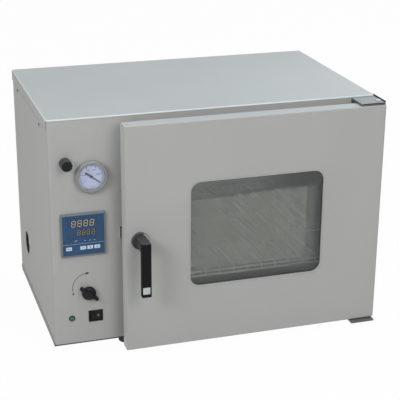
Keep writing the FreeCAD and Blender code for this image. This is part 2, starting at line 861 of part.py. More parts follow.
def make_door_skin():
    """The door's outer pan, with a large soft edge on the hinge side and the window opening."""
    body = new_body("door_skin", "door_left", "-door_gap", "door_bottom", FRONT)
    block(body, "door_width", "door_height", "door_thickness")
    soften(body, "door_edge_radius", "Y", x="door_width", z="door_thickness")
    doc.recompute()
    shape = body.Tip.Shape
    rims = edges_at(shape, "Y", x="0", z="door_thickness")
    rims += edges_at(shape, "X", y=("0", "door_height"), z="door_thickness")
    dress(body, "Fillet", rims, Radius="door_fold_radius")
    hollow(body, "door_sheet", z="0")
    left, bottom = "window_left - gasket_web", "window_bottom - gasket_web"
    width, height = "window_width + 2 * gasket_web", "window_height + 2 * gasket_web"
    cut_block(body, width, height, "door_thickness", (left, bottom, "5"))
    soften(body, "window_corner + gasket_web", "Z", x=(left, f"{left} + {width}"),
           y=(bottom, f"{bottom} + {height}"))
    handle = ("handle_x - door_left", "handle_z - door_bottom", "5")
    bore(body, "spindle_pass", "door_thickness", handle)
    bore(body, "hinge_bush_radius + seam", "door_height + 2",
         ("hinge_x - door_left", "-1", "hinge_reach - door_gap"), "Y")


def make_door_liner():
    """The door's inner pan, round the thick glass."""
    margin = "(door_sheet + seam)"
    body = new_body("door_liner", f"door_left + {margin}", "-door_gap", f"door_bottom + {margin}", FRONT)
    block(body, f"door_width - 2 * {margin}", f"door_height - 2 * {margin}", "liner_fold")
    hollow(body, "skin", z="liner_fold")
    left, bottom = f"glass_left - glass_gap - {margin}", f"glass_bottom - glass_gap - {margin}"
    width, height = "glass_width + 2 * glass_gap", "glass_height + 2 * glass_gap"
    cut_block(body, width, height, "liner_fold + 2", (left, bottom, "-1"))
    soften(body, "glass_corner + glass_gap", "Z", x=(left, f"{left} + {width}"),
           y=(bottom, f"{bottom} + {height}"))
    bore(body, "spindle_pass", "liner_fold",
         (f"handle_x - door_left - {margin}", f"handle_z - door_bottom - {margin}", "-1"))


def make_glazing():
    """The thick inner glass, its spacer, the outer pane and the gasket of the window."""
    glass = new_body("inner_glass", "door_left + glass_left", "-door_gap", "door_bottom + glass_bottom",
                     FRONT)
    block(glass, "glass_width", "glass_height", "glass_thickness")
    soften(glass, "glass_corner", "Z")
    inset = "(spacer_inset + spacer_wall)"
    ring("pane_spacer", "window_width + 2 * spacer_inset", "window_height + 2 * spacer_inset", "spacer_wall",
         "pane_back - glass_thickness", "window_corner", f"door_left + window_left - {inset}",
         "-door_gap - glass_thickness", f"door_bottom + window_bottom - {inset}")
    pane = new_body("outer_pane", "door_left + window_left - pane_overlap", "-door_gap - pane_back",
                    "door_bottom + window_bottom - pane_overlap", FRONT)
    block(pane, "window_width + 2 * pane_overlap", "window_height + 2 * pane_overlap", "pane_thickness")
    soften(pane, "glass_corner", "Z")
    web_start = "pane_back + pane_thickness"
    gasket = new_body("window_gasket", "door_left + window_left - gasket_lip", "-door_gap",
                      "door_bottom + window_bottom - gasket_lip", FRONT)
    right, top = "window_width + 2 * gasket_lip", "window_height + 2 * gasket_lip"
    inset = "gasket_lip - gasket_web"
    web_right, web_top = f"{right} - ({inset})", f"{top} - ({inset})"
    block(gasket, right, top, "gasket_proud", ("0", "0", "door_thickness"))
    block(gasket, "window_width + 2 * gasket_web", "window_height + 2 * gasket_web",
          f"door_thickness + gasket_proud / 2 - ({web_start})", (inset, inset, web_start))
    cut_block(gasket, "window_width", "window_height", "door_thickness",
              ("gasket_lip", "gasket_lip", f"{web_start} - 1"))
    soften(gasket, "window_corner", "Z", x=("gasket_lip", "gasket_lip + window_width"))
    soften(gasket, "window_corner + gasket_web", "Z", x=(inset, web_right), y=(inset, web_top))
    soften(gasket, "window_corner + gasket_lip", "Z", x=("0", right), y=("0", top))


def make_glass_clips():
    """Sheet clips that hold the thick glass to the liner."""
    clips = []
    for share in (0.2, 0.8):
        across = f"door_left + glass_left + glass_width * {share} - clip_length / 2"
        up = f"door_bottom + glass_bottom + glass_height * {share} - clip_length / 2"
        low, high = "glass_bottom + clip_bite - clip_width", "glass_bottom + glass_height - clip_bite"
        near, far = "glass_left + clip_bite - clip_width", "glass_left + glass_width - clip_bite"
        for z in (low, high):
            clip = new_body("clip", across, "-door_gap + clip_sheet", f"door_bottom + {z}", FRONT)
            block(clip, "clip_length", "clip_width", "clip_sheet")
            clips.append(clip)
        for x in (near, far):
            clip = new_body("clip", f"door_left + {x}", "-door_gap + clip_sheet", up, FRONT)
            block(clip, "clip_width", "clip_length", "clip_sheet")
            clips.append(clip)
    group("glass_clips", clips)


def make_hinges():
    """Folded brackets on the cabinet, their pins, and the bushes that turn on them in the door."""
    for name, level, reach, upward in (
            ("upper", "door_top + hinge_play", "hinge_upper_reach", False),
            ("lower", "door_bottom - hinge_play - hinge_plate", "hinge_lower_reach", True)):
        bracket = new_body("hinge_bracket_" + name, "hinge_plate_left", 0, level)
        block(bracket, "hinge_plate_right - hinge_plate_left", reach, "hinge_plate", ("0", f"-{reach}", "0"))
        leg_start = "0" if upward else "hinge_plate - hinge_leg_height"
        block(bracket, "hinge_leg_width", "hinge_plate", "hinge_leg_height",
              ("0", "-hinge_plate", leg_start))
        pin_place = ("hinge_x - hinge_plate_left", "-hinge_reach", "-1")
        bore(bracket, "hinge_pin_radius", "hinge_plate + 2", pin_place)
    make_hinge_pins()


def make_hinge_pins():
    """Headed pins pressed in the brackets, and the bushes of the door."""
    top = "door_top + hinge_play + hinge_plate"
    bottom = "door_bottom - hinge_play - hinge_plate"
    length = "(hinge_pin_length + hinge_pin_head_height)"
    pins = []
    bushes = []
    for name, z, turn in (("upper", f"{top} + hinge_pin_head_height", Rotation(Vector(1, 0, 0), 180)),
                          ("lower", f"{bottom} - hinge_pin_head_height", None)):
        pin = new_body("hinge_pin_" + name, "hinge_x", "-hinge_reach", z, turn)
        turned(pin, [("0", "0"), ("hinge_pin_head", "0"), ("hinge_pin_head", "hinge_pin_head_height"),
                     ("hinge_pin_radius", "hinge_pin_head_height"), ("hinge_pin_radius", length),
                     ("0", length)])
        bevel(pin, "hinge_pin_head_height / 2", z="0")
        pins.append(pin)
    for name, z in (("upper", "door_top - hinge_bush_length"), ("lower", "door_bottom")):
        bush = new_body("hinge_bush_" + name, "hinge_x", "-hinge_reach", z)
        rod(bush, "hinge_bush_radius", "hinge_bush_length")
        bore(bush, "hinge_bush_bore", "hinge_bush_length + 2", ("0", "0", "-1"))
        bushes.append(bush)
    group("hinge_pins", pins)
    group("hinge_bushes", bushes)


# Handle and latch


def make_handle():
    """The rose on the door, the cranked lever, its spindle and the pale inlay of the grip."""
    rose = new_body("handle_rose", "handle_x", "-door_front", "handle_z", FRONT)
    rod(rose, "rose_radius", "rose_thickness")
    bevel(rose, "rose_bevel", z="rose_thickness")
    bore(rose, "spindle_bore", "rose_thickness + 2", ("0", "0", "-1"))
    lever_start = "door_front + rose_thickness + seam"
    lever = new_body("handle_lever", "handle_x", f"-({lever_start})", "handle_z", FRONT)
    length = f"(handle_reach - ({lever_start}))"
    block(lever, "grip_width", "grip_top + neck_bottom", length, ("-grip_width / 2", "-neck_bottom", "0"))
    block(lever, "grip_width", "grip_top + grip_bottom", "grip_thickness",
          ("-grip_width / 2", "-grip_bottom", f"{length} - grip_thickness"))
    doc.recompute()
    shape = lever.Tip.Shape
    names = edges_at(shape, "Y", z=length)
    names += edges_at(shape, "X", z=length)
    names += edges_at(shape, "Z", y=("grip_top", "-grip_bottom"))
    dress(lever, "Fillet", names, Radius="grip_softening")
    bore(lever, "spindle_radius", "spindle_bite", ("0", "0", "-1"))
    cut_block(lever, "inlay_width", "inlay_height", "inlay_thickness + 1",
              ("-inlay_width / 2", "inlay_end - grip_bottom", f"{length} - inlay_thickness"))
    inlay = new_body("grip_inlay", "handle_x", "-handle_reach", "handle_z", FRONT)
    block(inlay, "inlay_width", "inlay_height", "inlay_thickness",
          ("-inlay_width / 2", "inlay_end - grip_bottom", "-inlay_thickness"))
    spindle = new_body("handle_spindle", "handle_x", "-tongue_back", "handle_z", FRONT)
    rod(spindle, "spindle_radius", f"{lever_start} + spindle_bite - 1 - tongue_back")


def make_latch():
    """The tongue on the spindle's inner end and the hooked keeper on the fascia."""
    tongue = new_body("latch_tongue", "handle_x", "-tongue_back", "handle_z", FRONT)
    rod(tongue, "tongue_hub_radius", "tongue_thickness")
    block(tongue, "tongue_width", "tongue_reach", "tongue_thickness", ("-tongue_width / 2", "0", "0"))
    soften(tongue, "tongue_thickness", "Z", y="tongue_reach")
    bore(tongue, "spindle_radius", "tongue_thickness + 2", ("0", "0", "-1"))
    far = "handle_x - tongue_reach - keeper_sheet"
    near = f"{far} + keeper_reach"
    floor_top = "-tongue_width / 2 - keeper_play"
    hook_front = "tongue_back + tongue_thickness + keeper_play + keeper_sheet"
    keeper = new_body("latch_keeper", far, 0, f"handle_z + {floor_top} - keeper_sheet", FRONT)
    width = f"{near} - ({far})"
    block(keeper, width, "keeper_height", "keeper_sheet - keeper_play")
    block(keeper, width, "keeper_sheet", hook_front)
    block(keeper, width, "keeper_height", "keeper_sheet", ("0", "0", f"{hook_front} - keeper_sheet"))


# Controls


def make_gauge():
    """The vacuum gauge: case and stem behind the fascia, bezel, dial and glass in front."""
    place = ("gauge_x", 0, "gauge_z", FRONT)
    case = new_body("gauge_case", *place)
    turned(case, [("0", "-gauge_depth - stem_length"), ("stem_radius", "-gauge_depth - stem_length"),
                  ("stem_radius", "-gauge_depth"), ("gauge_body_radius - seam", "-gauge_depth"),
                  ("gauge_body_radius - seam", "dial_height"),
                  ("gauge_body_radius - seam - gauge_wall", "dial_height"),
                  ("gauge_body_radius - seam - gauge_wall", "gauge_wall - gauge_depth"),
                  ("0", "gauge_wall - gauge_depth")])
    bore(case, "pipe_radius", "stem_radius", ("stem_radius - pipe_socket", "0", "-chamber_pipe_y"), "X")
    bezel = new_body("gauge_bezel", *place)
    lip_back = "gauge_proud - gauge_lip"
    turned(bezel, [("gauge_body_radius", "0"), ("gauge_radius", "0"),
                   ("gauge_radius", "gauge_proud - gauge_lip"), ("gauge_radius - gauge_lip", "gauge_proud"),
                   ("gauge_window_radius + gauge_lip / 2", "gauge_proud"),
                   ("gauge_window_radius", lip_back), ("gauge_body_radius", lip_back)])
    dial = new_body("gauge_dial", *place)
    rod(dial, "gauge_body_radius - seam", "dial_thickness", ("0", "0", "dial_height"))
    bore(dial, "needle_arbor_radius + seam", "dial_thickness + 2", ("0", "0", "dial_height - 1"))
    glass = new_body("gauge_glass", *place)
    rod(glass, "gauge_body_radius - seam", "gauge_glass", ("0", "0", f"{lip_back} - gauge_glass"))
    rest = Rotation(Vector(0, 0, 1), -value("needle_rest_angle"))
    needle = new_body("gauge_needle", "gauge_x", 0, "gauge_z", FRONT * rest)
    height = "needle_height"
    needle_blade(needle, height)
    rod(needle, "needle_hub_radius", "needle_thickness * 2", ("0", "0", height))
    rod(needle, "needle_arbor_radius", f"{height} + gauge_depth / 2", ("0", "0", "-gauge_depth / 2"))


def needle_blade(body, height):
    """Add the needle's blade, which tapers to its tip and widens in its tail."""
    sketch = outline(body, "XY_Plane", [
        ("-needle_tail", "-needle_tail_width / 2"), ("0", "-needle_root_width / 2"),
        ("needle_tip", "-needle_root_width / 5"), ("needle_tip", "needle_root_width / 5"),
        ("0", "needle_root_width / 2"), ("-needle_tail", "needle_tail_width / 2")])
    bind(sketch, **{"AttachmentOffset.Base.z": height})
    blade = body.newObject("PartDesign::Pad", "Blade")
    blade.Profile = sketch
    bind(blade, Length="needle_thickness")
    body.Tip = blade
    doc.recompute()


def make_controller():
    """The square temperature controller: case, bezel, face, display window and four keys."""
    half = "controller_size / 2"
    corner = (f"controller_x - {half}", 0, f"controller_z - {half}")
    case = new_body("controller_case", *corner, FRONT)
    rim = "(controller_size - controller_case_size) / 2"
    block(case, "controller_case_size", "controller_case_size", "controller_depth", (rim, rim, "-controller_depth"))
    bezel = new_body("controller_bezel", *corner, FRONT)
    block(bezel, "controller_size", "controller_size", "controller_proud")
    soften(bezel, "controller_rim / 2", "Z")
    bevel(bezel, "controller_rim / 3", z="controller_proud")
    opening = "controller_size - 2 * controller_rim"
    cut_block(bezel, opening, opening, "controller_proud + 2", ("controller_rim", "controller_rim", "-1"))
    face = new_body("controller_face", *corner, FRONT)
    edge = "controller_rim + seam / 2"
    face_size = "controller_size - 2 * controller_rim - seam"
    block(face, face_size, face_size, "face_height + face_thickness", (edge, edge, "0"))
    display = new_body("display_window", *corner, FRONT)
    block(display, "display_right - display_left", "display_top - display_bottom", "display_thickness",
          ("display_left", "display_bottom", "face_height + face_thickness"))
    key_top = "face_height + face_thickness + button_proud"
    middles = ("button_first", "button_second", "button_third", "button_fourth")
    for number, middle in enumerate(middles, start=1):
        hole = ("button_width + 2 * button_play", "button_height + 2 * button_play")
        cut_block(face, *hole, f"{key_top} + 1",
                  (f"{middle} - ({hole[0]}) / 2", f"button_row - ({hole[1]}) / 2", "-1"))
        key = new_body(f"controller_key_{number}", *corner, FRONT)
        block(key, "button_width", "button_height", "button_depth",
              (f"{middle} - button_width / 2", "button_row - button_height / 2",
               f"{key_top} - button_depth"))
        soften(key, "button_proud / 2", z=key_top)


def make_switch():
    """The rocker switch: a flanged housing with a well, and the rocker that tilts in it."""
    place = ("switch_x", 0, "switch_z", FRONT)
    housing = new_body("switch_housing", *place)
    centred_block(housing, "switch_width", "switch_height", "switch_proud", "0")
    soften(housing, "switch_proud / 2", z="switch_proud")
    centred_block(housing, "switch_body_width", "switch_body_height", "switch_depth", "-switch_depth")
    centred_block(housing, "switch_well_width", "switch_well_height", "switch_proud + switch_well_depth + 1",
                  "-switch_well_depth", cut=True)
    tilt = Rotation(Vector(0, 1, 0), value("rocker_tilt"))
    rocker = new_body("switch_rocker", "switch_x", 0, "switch_z - rocker_height / 2", FRONT * tilt)
    half = "rocker_width / 2"
    sketch = outline(rocker, "XZ_Plane", [
        (f"-{half}", "-rocker_depth"), (half, "-rocker_depth"), (half, "rocker_edge + rocker_crown"),
        ("0", "rocker_edge"), (f"-{half}", "rocker_edge + rocker_crown")])
    feature = rocker.newObject("PartDesign::Pad", "Rocker")
    feature.Profile = sketch
    feature.Reversed = True
    bind(feature, Length="rocker_height")
    rocker.Tip = feature
    doc.recompute()


def centred_block(body, width, height, depth, start, cut=False):
    """Add or cut a block about the body's Z axis."""
    make = cut_block if cut else block
    make(body, width, height, depth, (f"-({width}) / 2", f"-({height}) / 2", start))


def make_lamp():
    """The indicator lamp: its holder and its domed lens."""
    place = ("lamp_x", 0, "lamp_z", FRONT)
    holder = new_body("lamp_holder", *place)
    turned(holder, [("0", "-lamp_depth"), ("lamp_body_radius", "-lamp_depth"), ("lamp_body_radius", "0"),
                    ("lamp_radius", "0"), ("lamp_radius", "lamp_proud / 2"),
                    ("lamp_radius - lamp_proud / 2", "lamp_proud"), ("lamp_lens_radius", "lamp_proud"),
                    ("lamp_lens_radius", "-lamp_proud"), ("0", "-lamp_proud")])
    lens = new_body("lamp_lens", *place)
    rod(lens, "lamp_lens_radius", "lamp_proud + lamp_lens_proud", ("0", "0", "-lamp_proud"))
    soften(lens, "lamp_lens_proud / 2", z="lamp_lens_proud")


def make_vacuum_valve():
    """The vacuum valve: its body behind the fascia and the eared knob on its stem."""
    body = new_body("vacuum_valve_body", "valve_x", 0, "valve_z", FRONT)
    rod(body, "valve_body_radius", "valve_body_depth", ("0", "0", "-skin - valve_body_depth"))
    bore(body, "valve_stem_bore", "valve_stem_depth + 1", ("0", "0", "-skin - valve_stem_depth"))
    bore(body, "pipe_radius", "valve_body_radius",
         ("valve_body_radius - pipe_socket", "0", "-chamber_pipe_y"), "X")
    closed = Rotation(Vector(0, 0, 1), -value("valve_knob_angle"))
    knob = new_body("vacuum_valve_knob", "valve_x", 0, "valve_z", FRONT * closed)
    rod(knob, "valve_knob_radius", "valve_knob_height", ("0", "0", "valve_knob_gap"))
    soften(knob, "valve_knob_gap", z="valve_knob_gap + valve_knob_height")
    half_root, half_tip = "valve_ear_root", "valve_ear_tip"
    sketch = outline(knob, "XY_Plane", [
        ("-valve_ear_reach", f"-{half_tip}"), ("0", f"-{half_root}"), ("valve_ear_reach", f"-{half_tip}"),
        ("valve_ear_reach", half_tip), ("0", half_root), ("-valve_ear_reach", half_tip)])
    bind(sketch, **{"AttachmentOffset.Base.z": "valve_knob_gap"})
    ears = knob.newObject("PartDesign::Pad", "Ears")
    ears.Profile = sketch
    bind(ears, Length="valve_ear_height")
    knob.Tip = ears
    doc.recompute()
    soften(knob, "valve_knob_gap", z="valve_knob_gap + valve_ear_height")
    rod(knob, "valve_stem_radius", "valve_stem_depth + valve_knob_gap",
        ("0", "0", "1 - valve_stem_depth"))


def make_vent_valve():
    """The vent valve: its long body and the round knob on its stem."""
    body = new_body("vent_valve_body", "vent_x", 0, "vent_z", FRONT)
    rod(body, "vent_body_radius", "vent_body_depth", ("0", "0", "-skin - vent_body_depth"))
    bore(body, "valve_stem_bore", "valve_stem_depth + 1", ("0", "0", "-skin - valve_stem_depth"))
    bore(body, "pipe_radius", "vent_body_radius",
         ("0", "-2 * vent_body_radius + pipe_socket", "-vent_pipe_y"), "Y")
    knob = new_body("vent_valve_knob", "vent_x", 0, "vent_z", FRONT)
    rod(knob, "vent_knob_radius", "vent_knob_length", ("0", "0", "vent_knob_start"))
    soften(knob, "vent_knob_start / 2", z=("vent_knob_start", "vent_knob_start + vent_knob_length"))
    rod(knob, "valve_stem_radius", "valve_stem_depth + vent_knob_start", ("0", "0", "1 - valve_stem_depth"))


# Pipework and pump port


def bent_pipe(label, radius, first_run, second_run, x, y, z, turn):
    """A pipe that runs along its own Z axis and then turns towards its own X axis."""
    body = new_body(label, x, y, z, turn)
    bend = value("pipe_bend")
    first, second = value(first_run), value(second_run)
    path = new_sketch(body, "XZ_Plane", "Path")
    path.addGeometry(Part.LineSegment(Vector(0, 0, 0), Vector(0, first - bend, 0)), False)
    arc = Part.Circle(Vector(bend, first - bend, 0), Vector(0, 0, 1), bend)
    path.addGeometry(Part.ArcOfCircle(arc, math.pi / 2, math.pi), False)
    path.addGeometry(Part.LineSegment(Vector(bend, first, 0), Vector(second, first, 0)), False)
    for constraint in (("Coincident", 0, 1, -1, 1), ("Vertical", 0), ("Horizontal", 2),
                       ("Tangent", 0, 2, 1, 2), ("Tangent", 1, 1, 2, 1)):
        path.addConstraint(Sketcher.Constraint(*constraint))
    number = path.addConstraint(Sketcher.Constraint("Radius", 1, bend))
    bind(path, **{f"Constraints[{number}]": "pipe_bend"})
    set_point(path, 2, 2, second_run, first_run)
    profile = new_sketch(body, "XY_Plane", "Section")
    profile.addGeometry(Part.Circle(Vector(), Vector(0, 0, 1), value(radius)), False)
    profile.addConstraint(Sketcher.Constraint("Coincident", 0, 3, -1, 1))
    number = profile.addConstraint(Sketcher.Constraint("Radius", 0, value(radius)))
    bind(profile, **{f"Constraints[{number}]": radius})
    sweep = body.newObject("PartDesign::AdditivePipe", "Sweep")
    sweep.Profile = profile
    sweep.Spine = (path, [])
    body.Tip = sweep
    doc.recompute()
    return body


def make_pipework():
    """The four metal pipes between the pump port, the valves, the gauge and the chamber."""
    to_back = Rotation(Vector(-1, 0, 0), Vector(0, 0, 1), Vector(0, 1, 0), "ZXY")
    to_left = Rotation(Vector(0, 0, 1), 180)
    downwards = Rotation(Vector(1, 0, 0), 180)
    valve_end = "skin + valve_body_depth"
    cup_end = "cover_step + skin + port_depth"
    pump = bent_pipe("pump_pipe", "pump_pipe_radius", f"port_y - ({valve_end})", f"valve_x - ({cup_end})",
                     "valve_x", valve_end, "valve_z", to_back)
    chamber_wall_x = "chamber_left - chamber_wall"
    start = "valve_x + valve_body_radius - pipe_socket"
    chamber = new_body("chamber_pipe", start, "chamber_pipe_y", "valve_z", SIDEWAYS["X"])
    rod(chamber, "pipe_radius", f"{chamber_wall_x} - ({start})")
    half_tee = "tee_size / 2"
    block(chamber, "tee_size", "tee_size", "tee_size",
          (f"-{half_tee}", f"-{half_tee}", f"gauge_pipe_x - ({start}) - {half_tee}"))
    tee_top = "valve_z + tee_size / 2"
    gauge = bent_pipe("gauge_pipe", "pipe_radius", f"gauge_z - ({tee_top})",
                      "gauge_pipe_x - gauge_x - stem_radius + pipe_socket",
                      "gauge_pipe_x", "chamber_pipe_y", tee_top, to_left)
    vent_start = "vent_z - vent_body_radius + pipe_socket"
    vent = bent_pipe("vent_pipe", "pipe_radius", f"{vent_start} - vent_pipe_z", f"{chamber_wall_x} - vent_x",
                     "vent_x", "vent_pipe_y", vent_start, downwards)
    group("pipework", [pump, chamber, gauge, vent])


def make_pump_port():
    """The round cup behind the left side's opening and the hose nozzle in its middle."""
    cup = new_body("pump_port_cup", "cover_step + skin", "port_y", "port_z", SIDEWAYS["X"])
    outer = "port_radius + port_wall"
    rim = "port_radius + panel_flange"
    turned(cup, [(rim, "0"), (rim, "port_wall"), (outer, "port_wall"), (outer, "port_depth"),
                 ("0", "port_depth"), ("0", "port_depth - port_wall"),
                 ("port_radius", "port_depth - port_wall"), ("port_radius", "0")])
    nozzle = new_body("pump_nozzle", "cover_step + skin + port_depth - port_wall", "port_y", "port_z",
                      SIDEWAYS["-X"])
    tip = "nozzle_root + nozzle_length"
    turned(nozzle, [("nozzle_radius / 2", "0"), ("nozzle_root_radius", "0"),
                    ("nozzle_root_radius", "nozzle_root"), ("nozzle_radius", "nozzle_root"),
                    ("nozzle_radius", tip), ("nozzle_radius / 2", tip)])


def make_cord_gland():
    """The clamping gland in the back where the supply cord enters."""
    gland = new_body("cord_gland", "inlet_x", "cabinet_depth - cover_step", "inlet_z",
                     Rotation(Vector(1, 0, 0), -90))
    proud = "cover_step + gland_proud"
    turned(gland, [("gland_bore", "-panel_flange"), ("gland_radius", "-panel_flange"), ("gland_radius", "0"),
                   ("gland_nut_radius", "0"), ("gland_nut_radius", "gland_nut"), ("gland_radius", proud),
                   ("gland_bore", proud)])


def check_objects():
    """Stop if any object failed or any sub-part is not a valid shape."""
    for thing in doc.Objects:
        if "Invalid" in thing.State or "Error" in thing.State:
            raise RuntimeError(f"{thing.Label} failed to compute: {thing.State}")
    for part in sub_parts:
        if part.Shape.isNull() or not part.Shape.isValid() or not part.Shape.Solids:
            raise RuntimeError(f"{part.Label} has no valid solid")


def write_parts():
    """Write each sub-part to its own file."""
    os.makedirs("parts", exist_ok=True)
    for part in sub_parts:
        part.Shape.exportStep(f"parts/{part.Label}.step")


fill_sheet()
make_top_cover()
make_fascia()
make_side_panels()
make_back_panel()
make_base_tray()
make_partition()
make_feet()
make_cover_screws()
make_chamber()
make_mouth()
make_insulation()
make_heaters()
make_probe()
make_runners()
make_shelf("shelf_lower", "shelf_low")
make_shelf("shelf_upper", "shelf_low + shelf_pitch")
make_door_skin()
make_door_liner()
make_glazing()
make_glass_clips()
make_hinges()
make_handle()
make_latch()
make_gauge()
make_controller()
make_switch()
make_lamp()
make_vacuum_valve()
make_vent_valve()
make_pipework()
make_pump_port()
make_cord_gland()
doc.recompute()
check_objects()
write_parts()
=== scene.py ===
"""Looks of a bench-top vacuum drying oven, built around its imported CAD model.

Lengths are in millimetres from the painted cabinet's front lower left corner:
x to the right along the front, y to the back and z up. at() turns them into the frame's metres.
"""
import math

import bmesh
import bpy
from mathutils import Matrix, Vector


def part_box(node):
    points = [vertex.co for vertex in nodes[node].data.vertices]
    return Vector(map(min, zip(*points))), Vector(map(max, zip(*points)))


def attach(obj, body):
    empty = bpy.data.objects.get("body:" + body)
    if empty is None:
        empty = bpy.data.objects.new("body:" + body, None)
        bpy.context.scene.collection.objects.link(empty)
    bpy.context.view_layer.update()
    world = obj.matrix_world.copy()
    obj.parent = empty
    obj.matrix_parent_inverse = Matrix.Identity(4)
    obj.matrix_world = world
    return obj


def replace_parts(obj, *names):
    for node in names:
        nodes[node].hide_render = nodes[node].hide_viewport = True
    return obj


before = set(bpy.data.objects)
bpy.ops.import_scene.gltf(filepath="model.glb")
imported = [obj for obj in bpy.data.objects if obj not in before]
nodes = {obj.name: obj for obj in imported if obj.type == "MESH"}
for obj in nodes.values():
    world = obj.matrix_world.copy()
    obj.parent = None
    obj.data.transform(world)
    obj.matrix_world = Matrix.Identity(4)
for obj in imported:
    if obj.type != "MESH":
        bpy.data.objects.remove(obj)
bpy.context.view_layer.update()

MM = 0.001
SHEET_INSET = 1.5
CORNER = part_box("front_fascia")[0] - Vector((SHEET_INSET * MM, 0, 0))


def at(x, y, z):
    """The point x, y, z millimetres from the cabinet's front lower left corner, in metres."""
    return CORNER + Vector((x, y, z)) * MM


def place(node):
    """A CAD node's lowest and highest corners, in millimetres from the cabinet's corner."""
    return [(corner - CORNER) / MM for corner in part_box(node)]


def middle_of(node):
    """The x and z of a CAD node's middle, seen from the front."""
    low, high = place(node)
    return (low.x + high.x) / 2, (low.z + high.z) / 2


# Materials
NOISE_LOW, NOISE_HIGH = 0.3, 0.7
ROUGHNESS_DRIFT = 0.05


def linear(red, green, blue):
    """The linear colour of a screen colour given as 0 to 255."""
    def one(level):
        level /= 255
        return level / 12.92 if level <= 0.04045 else ((level + 0.055) / 1.055) ** 2.4
    return one(red), one(green), one(blue), 1


def shade(color, factor):
    """A colour made lighter or darker."""
    return tuple(min(1, level * factor) for level in color[:3]) + (1,)


def noise(tree, coordinates, scale, detail=2.0, stretch=(1, 1, 1)):
    """A noise texture in the object's own coordinates, stretched along an axis if asked."""
    mapping = tree.nodes.new("ShaderNodeMapping")
    mapping.inputs["Scale"].default_value = stretch
    tree.links.new(coordinates, mapping.inputs["Vector"])
    texture = tree.nodes.new("ShaderNodeTexNoise")
    texture.inputs["Scale"].default_value = scale
    texture.inputs["Detail"].default_value = detail
    tree.links.new(mapping.outputs["Vector"], texture.inputs["Vector"])
    return texture.outputs["Fac"]


def spread(tree, source, low, high):
    """Map a texture's middle range onto low to high."""
    ranged = tree.nodes.new("ShaderNodeMapRange")
    ranged.inputs["From Min"].default_value = NOISE_LOW
    ranged.inputs["From Max"].default_value = NOISE_HIGH
    ranged.inputs["To Min"].default_value = low
    ranged.inputs["To Max"].default_value = high
    tree.links.new(source, ranged.inputs["Value"])
    return ranged.outputs["Result"]


def finish(name, color, rough, metallic=0.0, grain=400, relief=0.05, patch=9, tone=0.03,
           stretch=(1, 1, 1), **sockets):
    """A material whose colour and roughness drift slowly and whose surface has a fine relief."""
    material = bpy.data.materials.new(name)
    material.use_nodes = True
    tree = material.node_tree
    shader = tree.nodes["Principled BSDF"]
    shader.inputs["Metallic"].default_value = metallic
    for socket, level in sockets.items():
        shader.inputs[socket.replace("_", " ")].default_value = level
    coordinates = tree.nodes.new("ShaderNodeTexCoord").outputs["Object"]
    drift = noise(tree, coordinates, patch, 3)
    mix = tree.nodes.new("ShaderNodeMix")
    mix.data_type = "RGBA"
    mix.inputs["A"].default_value = shade(color, 1 - tone)
    mix.inputs["B"].default_value = shade(color, 1 + tone)
    tree.links.new(spread(tree, drift, 0, 1), mix.inputs["Factor"])
    tree.links.new(mix.outputs["Result"], shader.inputs["Base Color"])
    fine = noise(tree, coordinates, grain, 2, stretch)
    smears = spread(tree, fine, rough - ROUGHNESS_DRIFT, rough + ROUGHNESS_DRIFT)
    tree.links.new(smears, shader.inputs["Roughness"])
    bump = tree.nodes.new("ShaderNodeBump")
    bump.inputs["Strength"].default_value = 1
    bump.inputs["Distance"].default_value = relief * MM
    tree.links.new(fine, bump.inputs["Height"])
    tree.links.new(bump.outputs["Normal"], shader.inputs["Normal"])
    return material


def glass(name, color, smear=0.02):
    """Clear glass with faint wiping marks."""
    return finish(name, color, smear, grain=14, relief=0.002, patch=4, tone=0.01, Transmission_Weight=1.0,
                  IOR=1.5)


def brushed(name, color, rough, along, grain=260):
    """Brushed metal, its lines running along one axis."""
    stretch = tuple(0.06 if axis == along else 4 for axis in "XYZ")
    return finish(name, color, rough, metallic=1.0, grain=grain, relief=0.012, stretch=stretch, tone=0.05)


